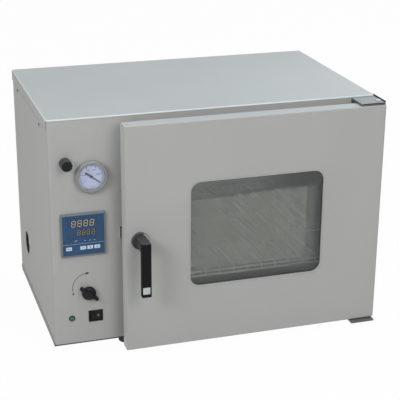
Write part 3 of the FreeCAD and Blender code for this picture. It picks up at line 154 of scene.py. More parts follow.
PAINT = linear(183, 182, 181)
FINISHES = {
    "cabinet_paint": finish("cabinet_paint", PAINT, 0.45, grain=520, relief=0.03, tone=0.02, patch=5,
                            Specular_IOR_Level=0.08),
    "tray_paint": finish("tray_paint", linear(168, 167, 166), 0.45, grain=520, relief=0.03, tone=0.02,
                         patch=5, Specular_IOR_Level=0.08),
    "door_paint": finish("door_paint", linear(184, 183, 181), 0.45, grain=520, relief=0.03, tone=0.02,
                         patch=5, Specular_IOR_Level=0.08),
    "liner_paint": finish("liner_paint", linear(172, 172, 171), 0.45, grain=520, relief=0.03, tone=0.02,
                          patch=5),
    "galvanised": finish("galvanised", linear(176, 180, 182), 0.4, metallic=0.9, grain=60, relief=0.01,
                         patch=70, tone=0.12),
    "foot_rubber": finish("foot_rubber", linear(46, 46, 47), 0.75, grain=900, relief=0.08, tone=0.15),
    "screw_steel": finish("screw_steel", linear(190, 190, 188), 0.3, metallic=1.0, grain=1500,
                          relief=0.02, tone=0.06),
    "stainless": brushed("stainless", linear(136, 137, 132), 0.34, "X"),
    "shelf_wire": finish("shelf_wire", linear(228, 228, 222), 0.3, metallic=0.35, grain=700, relief=0.01,
                         tone=0.04, patch=60),
    "silicone": finish("silicone", linear(196, 192, 184), 0.55, grain=700, relief=0.06, tone=0.06,
                       patch=40),
    "mineral_wool": finish("mineral_wool", linear(214, 206, 178), 0.95, grain=260, relief=1.2, tone=0.18,
                           patch=60),
    "heater_mat": finish("heater_mat", linear(172, 92, 62), 0.6, grain=600, relief=0.1, tone=0.08,
                         patch=50),
    "probe_steel": finish("probe_steel", linear(190, 190, 188), 0.28, metallic=1.0, grain=900,
                          relief=0.01, tone=0.05),
    "clear_glass": glass("clear_glass", linear(243, 246, 244)),
    "dark_rubber": finish("dark_rubber", linear(172, 174, 172), 0.5, grain=800, relief=0.05, tone=0.03,
                          patch=60),
    "spacer_plastic": finish("spacer_plastic", linear(34, 35, 35), 0.5, grain=700, relief=0.05, tone=0.1,
                             patch=60),
    "hinge_steel": finish("hinge_steel", linear(108, 115, 117), 0.45, grain=500, relief=0.04, tone=0.05,
                          patch=60),
    "pin_steel": finish("pin_steel", linear(158, 160, 158), 0.34, metallic=0.2, grain=1400, relief=0.01,
                        tone=0.05),
    "bush_brass": finish("bush_brass", linear(200, 168, 96), 0.3, metallic=1.0, grain=1200, relief=0.01,
                         tone=0.08, patch=60),
    "rose_paint": finish("rose_paint", linear(60, 61, 63), 0.36, grain=900, relief=0.03, tone=0.1,
                         patch=60),
    "grip_plastic": finish("grip_plastic", linear(58, 58, 60), 0.4, grain=1100, relief=0.05, tone=0.1,
                           patch=60, Specular_IOR_Level=0.3),
    "inlay_film": finish("inlay_film", linear(196, 200, 203), 0.3, grain=900, relief=0.01, tone=0.04,
                         patch=90),
    "latch_steel": finish("latch_steel", linear(188, 188, 186), 0.34, metallic=1.0, grain=900,
                          relief=0.02, tone=0.06),
    "gauge_ring": finish("gauge_ring", linear(140, 141, 140), 0.36, grain=900, relief=0.02, tone=0.05,
                         patch=60),
    "gauge_tin": finish("gauge_tin", linear(60, 60, 60), 0.45, grain=700, relief=0.03, tone=0.1),
    "dial_card": finish("dial_card", linear(206, 220, 255), 0.6, grain=1500, relief=0.01, tone=0.05,
                        patch=120),
    "needle_paint": finish("needle_paint", linear(6, 6, 10), 0.5, grain=1500, relief=0.01, tone=0.1,
                           patch=200),
    "bezel_plastic": finish("bezel_plastic", linear(112, 121, 128), 0.45, grain=1300, relief=0.04,
                            tone=0.04, patch=50),
    "case_plastic": finish("case_plastic", linear(24, 25, 26), 0.42, grain=1300, relief=0.05, tone=0.12,
                           patch=60, Specular_IOR_Level=0.15),
    "face_film": finish("face_film", linear(44, 78, 116), 0.36, grain=1500, relief=0.01, tone=0.08,
                        patch=50, Specular_IOR_Level=0.3),
    "display_plastic": finish("display_plastic", linear(42, 74, 111), 0.24, grain=1500, relief=0.004,
                              tone=0.1, patch=60, Specular_IOR_Level=0.3),
    "key_plastic": finish("key_plastic", linear(206, 220, 238), 0.4, grain=1500, relief=0.02, tone=0.03,
                          patch=120),
    "rocker_plastic": finish("rocker_plastic", linear(28, 30, 31), 0.34, grain=1300, relief=0.03,
                             tone=0.12, patch=120, Specular_IOR_Level=0.15),
    "lens_green": finish("lens_green", linear(60, 108, 98), 0.16, grain=500, relief=0.08, tone=0.35,
                         patch=260, Specular_IOR_Level=0.4),
    "knob_plastic": finish("knob_plastic", linear(24, 25, 28), 0.3, grain=1100, relief=0.03, tone=0.15,
                           patch=80, Specular_IOR_Level=0.18),
    "pipe_metal": finish("pipe_metal", linear(188, 188, 184), 0.32, metallic=1.0, grain=500, relief=0.02,
                         tone=0.08, patch=40),
    "cup_paint": finish("cup_paint", linear(40, 41, 42), 0.6, grain=520, relief=0.03, tone=0.06,
                        Specular_IOR_Level=0.2),
    "gland_nylon": finish("gland_nylon", linear(44, 44, 45), 0.5, grain=900, relief=0.05, tone=0.12,
                          patch=60),
}
# Paler, glossier paint: a painted highlight on the lid's folds
FOLD_HIGHLIGHT = finish("fold_painted_highlight", linear(212, 217, 217), 0.35, grain=520, relief=0.02, tone=0.02, patch=5,
                    Specular_IOR_Level=0.2)
PRINTED_BLUE = finish("printed_blue", linear(40, 46, 78), 0.5, grain=1500, relief=0.005, tone=0.06,
                      patch=200)
DIAL_INK = finish("dial_ink", linear(22, 36, 92), 0.5, grain=1500, relief=0.005, tone=0.06, patch=200)
GRIP_BLACK = finish("grip_black", linear(15, 15, 16), 0.42, grain=1100, relief=0.06, tone=0.2, patch=90,
                    Specular_IOR_Level=0.12)
# Darker than the upper hinge: painted shade on the lower bracket, which sits under the door
LOWER_HINGE_SHADE = finish("lower_hinge_painted_shade", linear(96, 98, 98), 0.5, grain=500, relief=0.05, tone=0.08, patch=60)
# Near black: the upper hinge plate's dark rims, and painted shadow on the lower bracket
BLACK_EDGE_AND_SHADE = finish("black_edge_and_shade", linear(22, 24, 24), 0.5, grain=700, relief=0.05, tone=0.15, patch=90,
                    Specular_IOR_Level=0.2)
LAMP_RING = finish("lamp_ring", linear(26, 50, 46), 0.4, grain=900, relief=0.03, tone=0.1, patch=120,
                   Specular_IOR_Level=0.2)
# Dark grey: a painted shadow line under the lid's side lips and along the cabinet's lower edge
SHADOW_LINE = finish("painted_shadow_line", linear(84, 86, 86), 0.7, grain=900, relief=0.06, tone=0.1, patch=60)
PRINTED_BLACK = finish("printed_black", linear(38, 44, 58), 0.5, grain=1500, relief=0.005, tone=0.08,
                       patch=200)
ROCKER_MARK = finish("rocker_mark", linear(122, 124, 128), 0.5, grain=1500, relief=0.005, tone=0.08,
                     patch=200)
ROCKER_DIM = finish("rocker_dim", linear(52, 58, 56), 0.5, grain=1500, relief=0.005, tone=0.08, patch=200)
PRINTED_PALE = finish("printed_pale", linear(196, 204, 212), 0.45, grain=1500, relief=0.005, tone=0.05,
                      patch=200)
# Near black: painted shade in the panel screws' cross recesses
RECESS_SHADE = finish("recess_painted_shade", linear(40, 40, 41), 0.6, grain=900, relief=0.05, tone=0.1, patch=200)
DIGIT_ON = finish("digit_on", linear(188, 188, 172), 0.4, grain=1500, relief=0.005, tone=0.04, patch=300)
DIGIT_WARM = finish("digit_warm", linear(150, 142, 128), 0.4, grain=1500, relief=0.005, tone=0.04,
                    patch=300)
DIGIT_BACK = finish("digit_back", linear(10, 13, 18), 0.3, grain=1500, relief=0.003, tone=0.1, patch=300)

SIDE_PAINT = finish("side_paint", PAINT, 0.5, grain=520, relief=0.03, tone=0.02, patch=5,
                    Specular_IOR_Level=0.0)
PANEL_SCREW = finish("panel_screw", linear(128, 132, 126), 0.5, grain=1500, relief=0.02, tone=0.06)
# Paler paint: a painted highlight on the door's left fold
DOOR_FOLD_HIGHLIGHT = finish("door_fold_highlight", linear(204, 204, 202), 0.45, grain=520, relief=0.03, tone=0.02, patch=5,
                   Specular_IOR_Level=0.08)
# Pale: a painted highlight on the rose's rim
ROSE_GLINT = finish("rose_glint", linear(184, 183, 174), 0.3, grain=900, relief=0.03, tone=0.06, patch=60)
# Grey-violet plastic: a painted highlight on the vent knob's fluted sides
KNOB_SIDE_HIGHLIGHT = finish("knob_side_painted_highlight", linear(66, 66, 73), 0.4, grain=1100, relief=0.03, tone=0.12, patch=80,
                   Specular_IOR_Level=0.2)
# Darker, duller wire: painted shade on the upper shelf
SHADED_SHELF = finish("shelf_painted_shade", linear(140, 140, 136), 0.35, metallic=0.5, grain=700, relief=0.01,
                    tone=0.04, patch=60)
GAUGE_GLASS = glass("gauge_glass", linear(252, 252, 254))

SPECIAL = {"hinge_bracket_lower": LOWER_HINGE_SHADE, "lamp_holder": LAMP_RING, "shelf_upper": SHADED_SHELF,
           "side_panel_left": SIDE_PAINT, "side_panel_right": SIDE_PAINT, "gauge_glass": GAUGE_GLASS,
           "cover_screws": FINISHES["cabinet_paint"]}
for name, node in nodes.items():
    for held in node.material_slots:
        held.material = SPECIAL.get(name) or FINISHES[held.material.name.split(".")[0]]

# Small pieces
LETTER_DEPTH = 0.04
PRINT = 0.1


def piece(name, mesh, material, body):
    """Make an object of a bmesh that is in the frame's metres, and let it ride on a body."""
    data = bpy.data.meshes.new(name)
    bmesh.ops.recalc_face_normals(mesh, faces=mesh.faces)
    mesh.to_mesh(data)
    mesh.free()
    thing = bpy.data.objects.new(name, data)
    bpy.context.scene.collection.objects.link(thing)
    data.materials.append(material)
    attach(thing, body)
    return thing


def smooth(thing, limit=35):
    """Shade a piece smooth, with sharp edges where faces meet at more than the limit in degrees."""
    data = thing.data
    data.shade_smooth()
    data.set_sharp_from_angle(angle=math.radians(limit))
    return thing


def rounded(thing, width):
    """Round a piece's edges."""
    bevel = thing.modifiers.new("rounding", "BEVEL")
    bevel.width = width * MM
    bevel.segments = 4
    thing.data.shade_smooth()
    weighted = thing.modifiers.new("normals", "WEIGHTED_NORMAL")
    weighted.keep_sharp = True
    return thing


def box_between(mesh, low, high):
    """Add a box between two corners."""
    corners = [mesh.verts.new(at(x, y, z)) for x in (low[0], high[0]) for y in (low[1], high[1])
               for z in (low[2], high[2])]
    for face in ((0, 1, 3, 2), (4, 6, 7, 5), (0, 4, 5, 1), (2, 3, 7, 6), (0, 2, 6, 4), (1, 5, 7, 3)):
        mesh.faces.new([corners[i] for i in face])


def prism(mesh, outline, back, front):
    """Add a flat shape: an outline of (x, z) points, from the depth back to the depth front."""
    behind = [mesh.verts.new(at(x, back, z)) for x, z in outline]
    before = [mesh.verts.new(at(x, front, z)) for x, z in outline]
    mesh.faces.new(behind)
    mesh.faces.new(list(reversed(before)))
    for i in range(len(outline)):
        j = (i + 1) % len(outline)
        mesh.faces.new((behind[i], before[i], before[j], behind[j]))


def bridge(mesh, near, far):
    """Add faces between two rings with as many points."""
    for i in range(len(near)):
        j = (i + 1) % len(near)
        mesh.faces.new((near[i], near[j], far[j], far[i]))


def disc(x, z, radius, steps=24):
    """The outline of a disc."""
    return [(x + radius * math.cos(a), z + radius * math.sin(a))
            for a in (2 * math.pi * i / steps for i in range(steps))]


def bar(x, z, length, width, angle):
    """The outline of a bar about its middle, turned by angle degrees."""
    c, s = math.cos(math.radians(angle)), math.sin(math.radians(angle))
    half, thick = length / 2, width / 2
    return [(x + u * c - v * s, z + u * s + v * c)
            for u, v in ((-half, -thick), (half, -thick), (half, thick), (-half, thick))]


def arc(x, z, radius, width, start, end, steps=40):
    """The outline of an arc of a given width, from start to end degrees."""
    angles = [math.radians(start + (end - start) * i / steps) for i in range(steps + 1)]
    large, small = radius + width / 2, radius - width / 2
    outer = [(x + large * math.cos(a), z + large * math.sin(a)) for a in angles]
    inner = [(x + small * math.cos(a), z + small * math.sin(a)) for a in angles]
    return outer + inner[::-1]


def words(name, body_text, x, y, z, size, material, body):
    """Plain figures printed on a surface that faces the front."""
    curve = bpy.data.curves.new(name, "FONT")
    curve.body = body_text
    curve.size = size * MM
    curve.align_x = "CENTER"
    curve.align_y = "CENTER"
    curve.extrude = LETTER_DEPTH * MM
    thing = bpy.data.objects.new(name, curve)
    bpy.context.scene.collection.objects.link(thing)
    thing.matrix_world = Matrix.Translation(at(x, y, z)) @ Matrix.Rotation(math.pi / 2, 4, "X")
    curve.materials.append(material)
    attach(thing, body)
    return thing


# Gauge dial
NEEDLE_REST = -38
NEEDLE_SWEEP = 256
DIAL_NUMBERS = ("0", "0.02", "0.04", "0.06", "0.08", "0.1")
DIAL_STEPS = 50
LONG_MARK, MIDDLE_MARK, SHORT_MARK = (4.6, 0.9), (3.6, 0.6), (2.4, 0.35)
MARK_END = 24.5
SCALE_RADIUS, SCALE_LINE = 24.8, 0.4
NUMBER_RADIUS, NUMBER_SIZE = 15.6, 5.2
NEEDLE_TAIL, NEEDLE_POINT = (-8.5, 15, 3.6, 0.12), (10.5, 24, 1.7, 0.1)

dial_x, dial_z = middle_of("gauge_dial")
dial_face = place("gauge_dial")[0].y


def dial_bar(distance, length, width, angle):
    """The outline of a bar that points away from the dial's centre, its middle at a distance."""
    a = math.radians(angle)
    return bar(dial_x + distance * math.cos(a), dial_z + distance * math.sin(a), length, width, angle)


marks = bmesh.new()
for i in range(DIAL_STEPS + 1):
    length, width = LONG_MARK if i % 10 == 0 else (MIDDLE_MARK if i % 5 == 0 else SHORT_MARK)
    angle = NEEDLE_REST + NEEDLE_SWEEP * i / DIAL_STEPS
    prism(marks, dial_bar(MARK_END - length / 2, length, width, angle), dial_face, dial_face - PRINT)
prism(marks, arc(dial_x, dial_z, SCALE_RADIUS, SCALE_LINE, NEEDLE_REST, NEEDLE_REST + NEEDLE_SWEEP, 80),
      dial_face, dial_face - PRINT)
piece("dial_marks", marks, DIAL_INK, "cabinet")
for i, label in enumerate(DIAL_NUMBERS):
    a = math.radians(NEEDLE_REST + NEEDLE_SWEEP * i / (len(DIAL_NUMBERS) - 1))
    words(f"dial_number_{i + 1}", label, dial_x + NUMBER_RADIUS * math.cos(a), dial_face,
          dial_z + NUMBER_RADIUS * math.sin(a), NUMBER_SIZE, DIAL_INK, "cabinet")

hand = bmesh.new()
hand_y = place("gauge_needle")[0].y
for distance, length, width, lift in (NEEDLE_TAIL, NEEDLE_POINT):
    prism(hand, dial_bar(distance, length, width, NEEDLE_REST), hand_y + PRINT, hand_y - lift)
piece("needle_hand", hand, FINISHES["needle_paint"], "needle")

# Controller, placed from its bezel's lower left corner
UPPER_ROW = {"left": 23.0, "bottom": 68.0, "pitch": 12.9, "width": 7.9, "height": 12.8, "stroke": 1.5}
LOWER_ROW = {"left": 35.2, "bottom": 48.8, "pitch": 10.0, "width": 5.8, "height": 10.2, "stroke": 1.1}
LEAN, BAR_GAP, FIELD_MARGIN = 0.1, 0.5, 0.9

# Each bar of a figure: its middle as shares of the figure's width and height, and its angle
SEGMENTS = {"top": (0.5, 1, 0), "middle": (0.5, 0.5, 0), "bottom": (0.5, 0, 0),
            "upper_left": (0, 0.75, 90), "upper_right": (1, 0.75, 90),
            "lower_left": (0, 0.25, 90), "lower_right": (1, 0.25, 90)}
FACE_LAMPS = (31.5, 51.3, 62.0, 71.6)
LAMP_LEVEL, LAMP_RADIUS = 39.4, 1.3

# Printed bars: the level, length, width and angle, and for the divider the place along the face first
LONG_CAPTION, SHORT_CAPTION = (35.6, 6.2, 1.1, 12), (34.6, 4.0, 0.9, 12)
DIVIDER = (47, 28.3, 88, 0.5, 0)
FIGURE_PROUD, FIELD_PROUD, LAMP_PROUD, KEY_PRINT = 0.15, 0.06, 0.3, 0.08

bezel_low = place("controller_bezel")[0]
face_front = place("controller_face")[0].y
display_front = place("display_window")[0].y


def digit(mesh, left, bottom, width, height, stroke):
    """Add the seven bars of a figure eight, leaning slightly to the right."""
    for u, v, angle in SEGMENTS.values():
        length = (width if angle == 0 else height / 2) - stroke * BAR_GAP
        half, thick = length / 2, stroke / 2
        shape = [(-half, 0), (-half + thick, -thick), (half - thick, -thick),
                 (half, 0), (half - thick, thick), (-half + thick, thick)]
        c, s = math.cos(math.radians(angle)), math.sin(math.radians(angle))
        points = []
        for p, q in shape:
            x, z = u * width + p * c - q * s, v * height + p * s + q * c
            points.append((left + x + LEAN * z, bottom + z))
        prism(mesh, points, display_front, display_front - FIGURE_PROUD)


def row_of_digits(name, material, left, bottom, pitch, width, height, stroke):
    """Four figures beside each other, on a dark field that is cut close around them."""
    left, bottom = bezel_low.x + left, bezel_low.z + bottom
    margin = stroke * FIELD_MARGIN
    right, top = left + pitch * 3 + width + margin, bottom + height + margin
    field = bmesh.new()
    prism(field, [(left - margin, bottom - margin), (right, bottom - margin),
                  (right + LEAN * height, top), (left - margin + LEAN * height, top)],
          display_front, display_front - FIELD_PROUD)
    piece(name + "_field", field, DIGIT_BACK, "cabinet")
    mesh = bmesh.new()
    for i in range(4):
        digit(mesh, left + pitch * i, bottom, width, height, stroke)
    piece(name, mesh, material, "cabinet")


def face_bar(mesh, x, z, length, width, angle):
    """Add a printed bar to the controller's face."""
    prism(mesh, bar(bezel_low.x + x, bezel_low.z + z, length, width, angle), face_front, face_front - PRINT)


def key_outlines(number, x, z):
    """The outlines of a key's generic symbol: a bent bar, an open ring, or an arrowhead down or up."""
    if number == 1:
        return [bar(x, z, 5.4, 1.0, 0), bar(x - 2.4, z + 1.5, 1.6, 1.0, 0)]
    if number == 2:
        return [arc(x, z - 0.2, 1.9, 0.8, -60, 200, 24)]
    lift = 1 if number == 4 else -1
    return [[(x - 2.1, z - 1.2 * lift), (x + 2.1, z - 1.2 * lift), (x, z + 1.6 * lift)]]


row_of_digits("upper_digits", DIGIT_ON, **UPPER_ROW)
row_of_digits("lower_digits", DIGIT_WARM, **LOWER_ROW)

face_marks = bmesh.new()
face_bar(face_marks, *DIVIDER)
face_bar(face_marks, FACE_LAMPS[0], *LONG_CAPTION)
for x in FACE_LAMPS[1:]:
    face_bar(face_marks, x, *SHORT_CAPTION)
piece("face_lines", face_marks, PRINTED_PALE, "cabinet")

lamps = bmesh.new()
for x in FACE_LAMPS:
    prism(lamps, disc(bezel_low.x + x, bezel_low.z + LAMP_LEVEL, LAMP_RADIUS), face_front,
          face_front - LAMP_PROUD)
piece("face_lamps", lamps, DIGIT_BACK, "cabinet")

for number in (1, 2, 3, 4):
    key = f"controller_key_{number}"
    front = place(key)[0].y
    symbol = bmesh.new()
    for outline in key_outlines(number, *middle_of(key)):
        prism(symbol, outline, front, front - KEY_PRINT)
    piece(f"key_symbol_{number}", symbol, PRINTED_BLACK, f"key_{number}")

# Printed arc round the vacuum valve, with a dot at one end and an arrowhead at the other
ARC_X, ARC_Z, ARC_RADIUS, ARC_WIDTH = 76.3, 128.0, 32.6, 1.2
ARC_START, ARC_END = 97, 194
ARC_DOT = (44.9, 115.6, 2.3)
ARROWHEAD = [(70.4, 160.6), (73.9, 158.2), (77.9, 158.6), (80.4, 160.8), (77.9, 162.8), (73.9, 162.9)]

fascia_front = place("front_fascia")[0].y
arc_marks = bmesh.new()
for outline in (arc(ARC_X, ARC_Z, ARC_RADIUS, ARC_WIDTH, ARC_START, ARC_END), disc(*ARC_DOT), ARROWHEAD):
    prism(arc_marks, outline, fascia_front, fascia_front - PRINT)
piece("valve_scale", arc_marks, PRINTED_BLUE, "cabinet")

# Lid, with a painted highlight on its folds: a coat of paler paint laid over them
LID_WIDTH, LID_DEPTH, LID_TOP = place("front_fascia")[1].x + SHEET_INSET, 435.0, 505.0
LID_LIP, LID_FRONT_LIP, LID_CORNER, LID_FOLD, LID_SKIN = 24.0, 4.0, 6.0, 3.0, 1.2
FRONT_LIP_END = LID_CORNER + 1
LIP_STEP = 0.01
FOLD_HIGHLIGHT_RADIUS = LID_FOLD + 0.06
CORNER_STEPS, FOLD_STEPS = 8, 6


def lid_outline(inset):
    """The lid's outline seen from above, moved in by an inset: round corners in front, sharp ones behind."""
    points = []
    radius = LID_CORNER - inset
    for x, start in ((LID_CORNER, math.pi), (LID_WIDTH - LID_CORNER, 1.5 * math.pi)):
        for i in range(CORNER_STEPS + 1):
            a = start + math.pi / 2 * i / CORNER_STEPS
            points.append((x + radius * math.cos(a), LID_CORNER + radius * math.sin(a)))
    right, behind = LID_WIDTH - inset, LID_DEPTH - inset
    points += [(right, FRONT_LIP_END), (right, FRONT_LIP_END + LIP_STEP), (right, behind),
               (inset, behind), (inset, FRONT_LIP_END + LIP_STEP), (inset, FRONT_LIP_END)]
    return points


def lip_edge(y):
    """The height of the lips' lower edge at a depth."""
    return LID_TOP - (LID_FRONT_LIP if y <= FRONT_LIP_END else LID_LIP)


def lid_ring(mesh, inset, z=None):
    """A ring of points at the height z, or else along the lips' lower edge."""
    return [mesh.verts.new(at(x, y, lip_edge(y) if z is None else z)) for x, y in lid_outline(inset)]


def fold_rings(mesh, radius, steps):
    """The rings of the quarter fold from the lips to the flat, at some of its steps."""
    return [lid_ring(mesh, LID_FOLD - radius * math.cos(a), LID_TOP - LID_FOLD + radius * math.sin(a))
            for a in (math.pi / 2 * i / FOLD_STEPS for i in steps)]


lid = bmesh.new()
outer = [lid_ring(lid, 0)] + fold_rings(lid, LID_FOLD, range(FOLD_STEPS + 1))
inner = [lid_ring(lid, LID_SKIN)] + fold_rings(lid, LID_FOLD - LID_SKIN, range(FOLD_STEPS + 1))
for rings in (outer, inner):
    for near, far in zip(rings, rings[1:]):
        bridge(lid, near, far)
    lid.faces.new(rings[-1])
bridge(lid, outer[0], inner[0])
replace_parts(smooth(piece("lid", lid, FINISHES["cabinet_paint"], "cabinet")), "top_cover")

# The painted highlight, laid just outside the lid's folds
fold_highlight = bmesh.new()
rings = fold_rings(fold_highlight, FOLD_HIGHLIGHT_RADIUS, range(1, FOLD_STEPS))
for near, far in zip(rings, rings[1:]):
    bridge(fold_highlight, near, far)
smooth(piece("lid_fold_highlight", fold_highlight, FOLD_HIGHLIGHT, "cabinet"))

# Side panel screws with painted shade in their cross recesses, and a painted shadow line under the lid's side
# lips
SCREW_PROFILE = ((4.0, -0.1), (3.9, 0.7), (3.3, 1.4), (2.2, 1.9), (1.1, 2.1))
SCREW_SIDES = 20
SCREW_PLACES = ((86, 472), (366, 472))
CROSS_LONG, CROSS_WIDE = 2.0, 0.5
CROSS_FRONT, CROSS_BACK = 2.2, 1.4
LIP_SHADOW_INSET, LIP_SHADOW_HEIGHT = 0.4, 1.4
LIP_SHADOW_FRONT, LIP_SHADOW_BACK = 36, 414


def side_x(out):
    """The side sheet's outer face: on the left where out is -1 and on the right where it is 1."""
    return SHEET_INSET if out < 0 else LID_WIDTH - SHEET_INSET


def side_screw(mesh, out, y, z):
    """Add a dome-headed screw to a side sheet: rings of points from the rim to the crown."""
    rings = []
    for radius, lift in SCREW_PROFILE:
        x = side_x(out) + out * lift
        rings.append([mesh.verts.new(at(x, y + radius * math.cos(a), z + radius * math.sin(a)))
                      for a in (2 * math.pi * i / SCREW_SIDES for i in range(SCREW_SIDES))])
    for near, far in zip(rings, rings[1:]):
        bridge(mesh, near, far)
    mesh.faces.new(rings[-1])


def cross(mesh, out, y, z):
    """Add a dark cross on a screw's crown, painted shade for its cross recess."""
    x = side_x(out)
    for long, wide in ((CROSS_LONG, CROSS_WIDE), (CROSS_WIDE, CROSS_LONG)):
        corners = ((-long, -wide), (long, -wide), (long, wide), (-long, wide))
        front = [mesh.verts.new(at(x + out * CROSS_FRONT, y + u, z + v)) for u, v in corners]
        back = [mesh.verts.new(at(x + out * CROSS_BACK, y + u, z + v)) for u, v in corners]
        mesh.faces.new(front)
        mesh.faces.new(back[::-1])
        for i in range(4):
            mesh.faces.new((front[i], back[i], back[(i + 1) % 4], front[(i + 1) % 4]))


screws, crosses = bmesh.new(), bmesh.new()
for out in (-1, 1):
    for y, z in SCREW_PLACES:
        side_screw(screws, out, y, z)
        cross(crosses, out, y, z)
smooth(piece("panel_screws", screws, PANEL_SCREW, "cabinet"))
piece("panel_screw_recess_shade", crosses, RECESS_SHADE, "cabinet")

# Painted shadow: a dark strip under each side lip
lip_shadow = bmesh.new()
lip_shadow_top = LID_TOP - LID_LIP
for x0, x1 in ((LIP_SHADOW_INSET, SHEET_INSET), (LID_WIDTH - SHEET_INSET, LID_WIDTH - LIP_SHADOW_INSET)):
    box_between(lip_shadow, (x0, LIP_SHADOW_FRONT, lip_shadow_top - LIP_SHADOW_HEIGHT), (x1, LIP_SHADOW_BACK, lip_shadow_top))
piece("painted_shadow_line", lip_shadow, SHADOW_LINE, "cabinet")

# Hinge edges: a dark rim along the upper plate's right end and front, and a dark strip of painted shadow on
# the lower bracket under the door
RIM_LAP, RIM_WIDTH, RIM_START, RIM_BACK, RIM_RISE, RIM_DROP = 0.2, 1.3, 2, 9, 2.4, 4
FRONT_RIM_START, FRONT_RIM_PROUD, FRONT_RIM_LAP = 3, 0.5, 0.1
FRONT_RIM_LOW, FRONT_RIM_HIGH = 2.2, 0.6
BRACKET_SHADE_MARGIN, BRACKET_SHADE_FRONT, BRACKET_SHADE_BACK = 4, 12, 26
BRACKET_SHADE_LOW, BRACKET_SHADE_HIGH = 3.9, 4.9

plate_low, plate_high = place("hinge_bracket_upper")
edges = bmesh.new()
box_between(edges, (plate_high.x - RIM_LAP, plate_low.y + RIM_START, plate_high.z - RIM_DROP),
            (plate_high.x + RIM_WIDTH, RIM_BACK, plate_high.z + RIM_RISE))
box_between(edges, (plate_low.x + FRONT_RIM_START, plate_low.y - FRONT_RIM_PROUD,
                    plate_high.z - FRONT_RIM_LOW),
            (plate_high.x, plate_low.y + FRONT_RIM_LAP, plate_high.z - FRONT_RIM_HIGH))
piece("hinge_edges", edges, BLACK_EDGE_AND_SHADE, "cabinet")
# Painted shadow: a dark strip on the lower bracket, under the door
lower_low, lower_high = place("hinge_bracket_lower")
bracket_shade = bmesh.new()
box_between(bracket_shade, (lower_low.x + BRACKET_SHADE_MARGIN, lower_low.y + BRACKET_SHADE_FRONT, lower_low.z + BRACKET_SHADE_LOW),
            (lower_high.x - BRACKET_SHADE_MARGIN, lower_low.y + BRACKET_SHADE_BACK, lower_low.z + BRACKET_SHADE_HIGH))
piece("hinge_painted_shadow", bracket_shade, BLACK_EDGE_AND_SHADE, "cabinet")

# Handle: the grip's black sleeve, its inlay, and a painted highlight on part of the rose's rim
GRIP_THICKNESS = 13
SLEEVE, SLEEVE_TOP, SLEEVE_ROUNDING = 0.35, 0.3, 2.2
BADGE_PROUD, BADGE_LEFT, BADGE_RIGHT, BADGE_ROUNDING = 0.25, 1.4, 0.2, 0.2
GLINT_SUNK = 0.2
GLINT_RADIUS, GLINT_WIDTH, GLINT_START, GLINT_END = 16.4, 3.4, 4, 66

lever_low, lever_high = place("handle_lever")
inlay_low, inlay_high = place("grip_inlay")
sleeve = bmesh.new()
box_between(sleeve, (lever_low.x - SLEEVE, lever_low.y - SLEEVE, lever_low.z - SLEEVE),
            (lever_high.x + SLEEVE, lever_low.y + GRIP_THICKNESS + SLEEVE, lever_high.z - SLEEVE_TOP))
rounded(piece("grip_sleeve", sleeve, GRIP_BLACK, "handle"), SLEEVE_ROUNDING)
badge = bmesh.new()
box_between(badge, (inlay_low.x - BADGE_LEFT, lever_low.y - SLEEVE - BADGE_PROUD, inlay_low.z),
            (inlay_high.x - BADGE_RIGHT, lever_low.y, inlay_high.z))
rounded(piece("grip_badge", badge, FINISHES["inlay_film"], "handle"), BADGE_ROUNDING)

rose_front = place("handle_rose")[0].y
glint = bmesh.new()
prism(glint, arc(*middle_of("handle_rose"), GLINT_RADIUS, GLINT_WIDTH, GLINT_START, GLINT_END),
      rose_front + GLINT_SUNK, rose_front - PRINT)
piece("rose_glint", glint, ROSE_GLINT, "door")

# Door fold: a painted highlight on the door's left edge, a coat of paler paint
HIGHLIGHT_PROUD, HIGHLIGHT_LAP, HIGHLIGHT_FRONT, HIGHLIGHT_BACK, HIGHLIGHT_END = 0.15, 0.1, 2.5, 0.5, 2

door_low, door_high = place("door_skin")
door_highlight = bmesh.new()
box_between(door_highlight, (door_low.x - HIGHLIGHT_PROUD, door_low.y + HIGHLIGHT_FRONT, door_low.z + HIGHLIGHT_END),
            (door_low.x + HIGHLIGHT_LAP, door_high.y - HIGHLIGHT_BACK, door_high.z - HIGHLIGHT_END))
piece("door_fold_highlight", door_highlight, DOOR_FOLD_HIGHLIGHT, "door")

# Knobs, as profiles of rings at heights in front of the fascia
VENT_RADIUS, VENT_EXTRA, VENT_FLUTES, VENT_DIMPLE = 12.0, 5, 20, 2.0
CAP_MARGIN, CAP_STEPS, CAP_SUNK, CAP_PROUD = 1.3, 48, 0.8, 0.2
SPINDLE_RADIUS = 3.0
KNOB_ANGLE = math.radians(-39)
KNOB_RADIUS, EAR_REACH = 15.0, 23.0
KNOB_POINTS, SEARCH_STEPS = 240, 24
FLANK_SHARE, FLANK_CURVE = 0.8, 1.6


def lathe_rings(name, rings, material, body, slot, axis_x, axis_z):
    """A closed form of rings: each ring is a list of (u, v) at its own height in front of the fascia."""
    mesh = bmesh.new()
    loops = [[mesh.verts.new(at(axis_x + u, -height, axis_z + v)) for u, v in points]
             for height, points in rings]
    for near, far in zip(loops, loops[1:]):
        bridge(mesh, near, far)
    mesh.faces.new(loops[0][::-1])
    mesh.faces.new(loops[-1])
    return smooth(piece(name, mesh, material, body), 40)


def around(radius_at, count=144):
    """Points at equal angles whose radius is a function of the angle."""
    return [(radius_at(a) * math.cos(a), radius_at(a) * math.sin(a))
            for a in (2 * math.pi * i / count for i in range(count))]


def fluted(radius, depth):
    """A ring with shallow finger flutes."""
    return around(lambda a: radius - depth * (0.5 - 0.5 * math.cos(VENT_FLUTES * a)) ** 2)


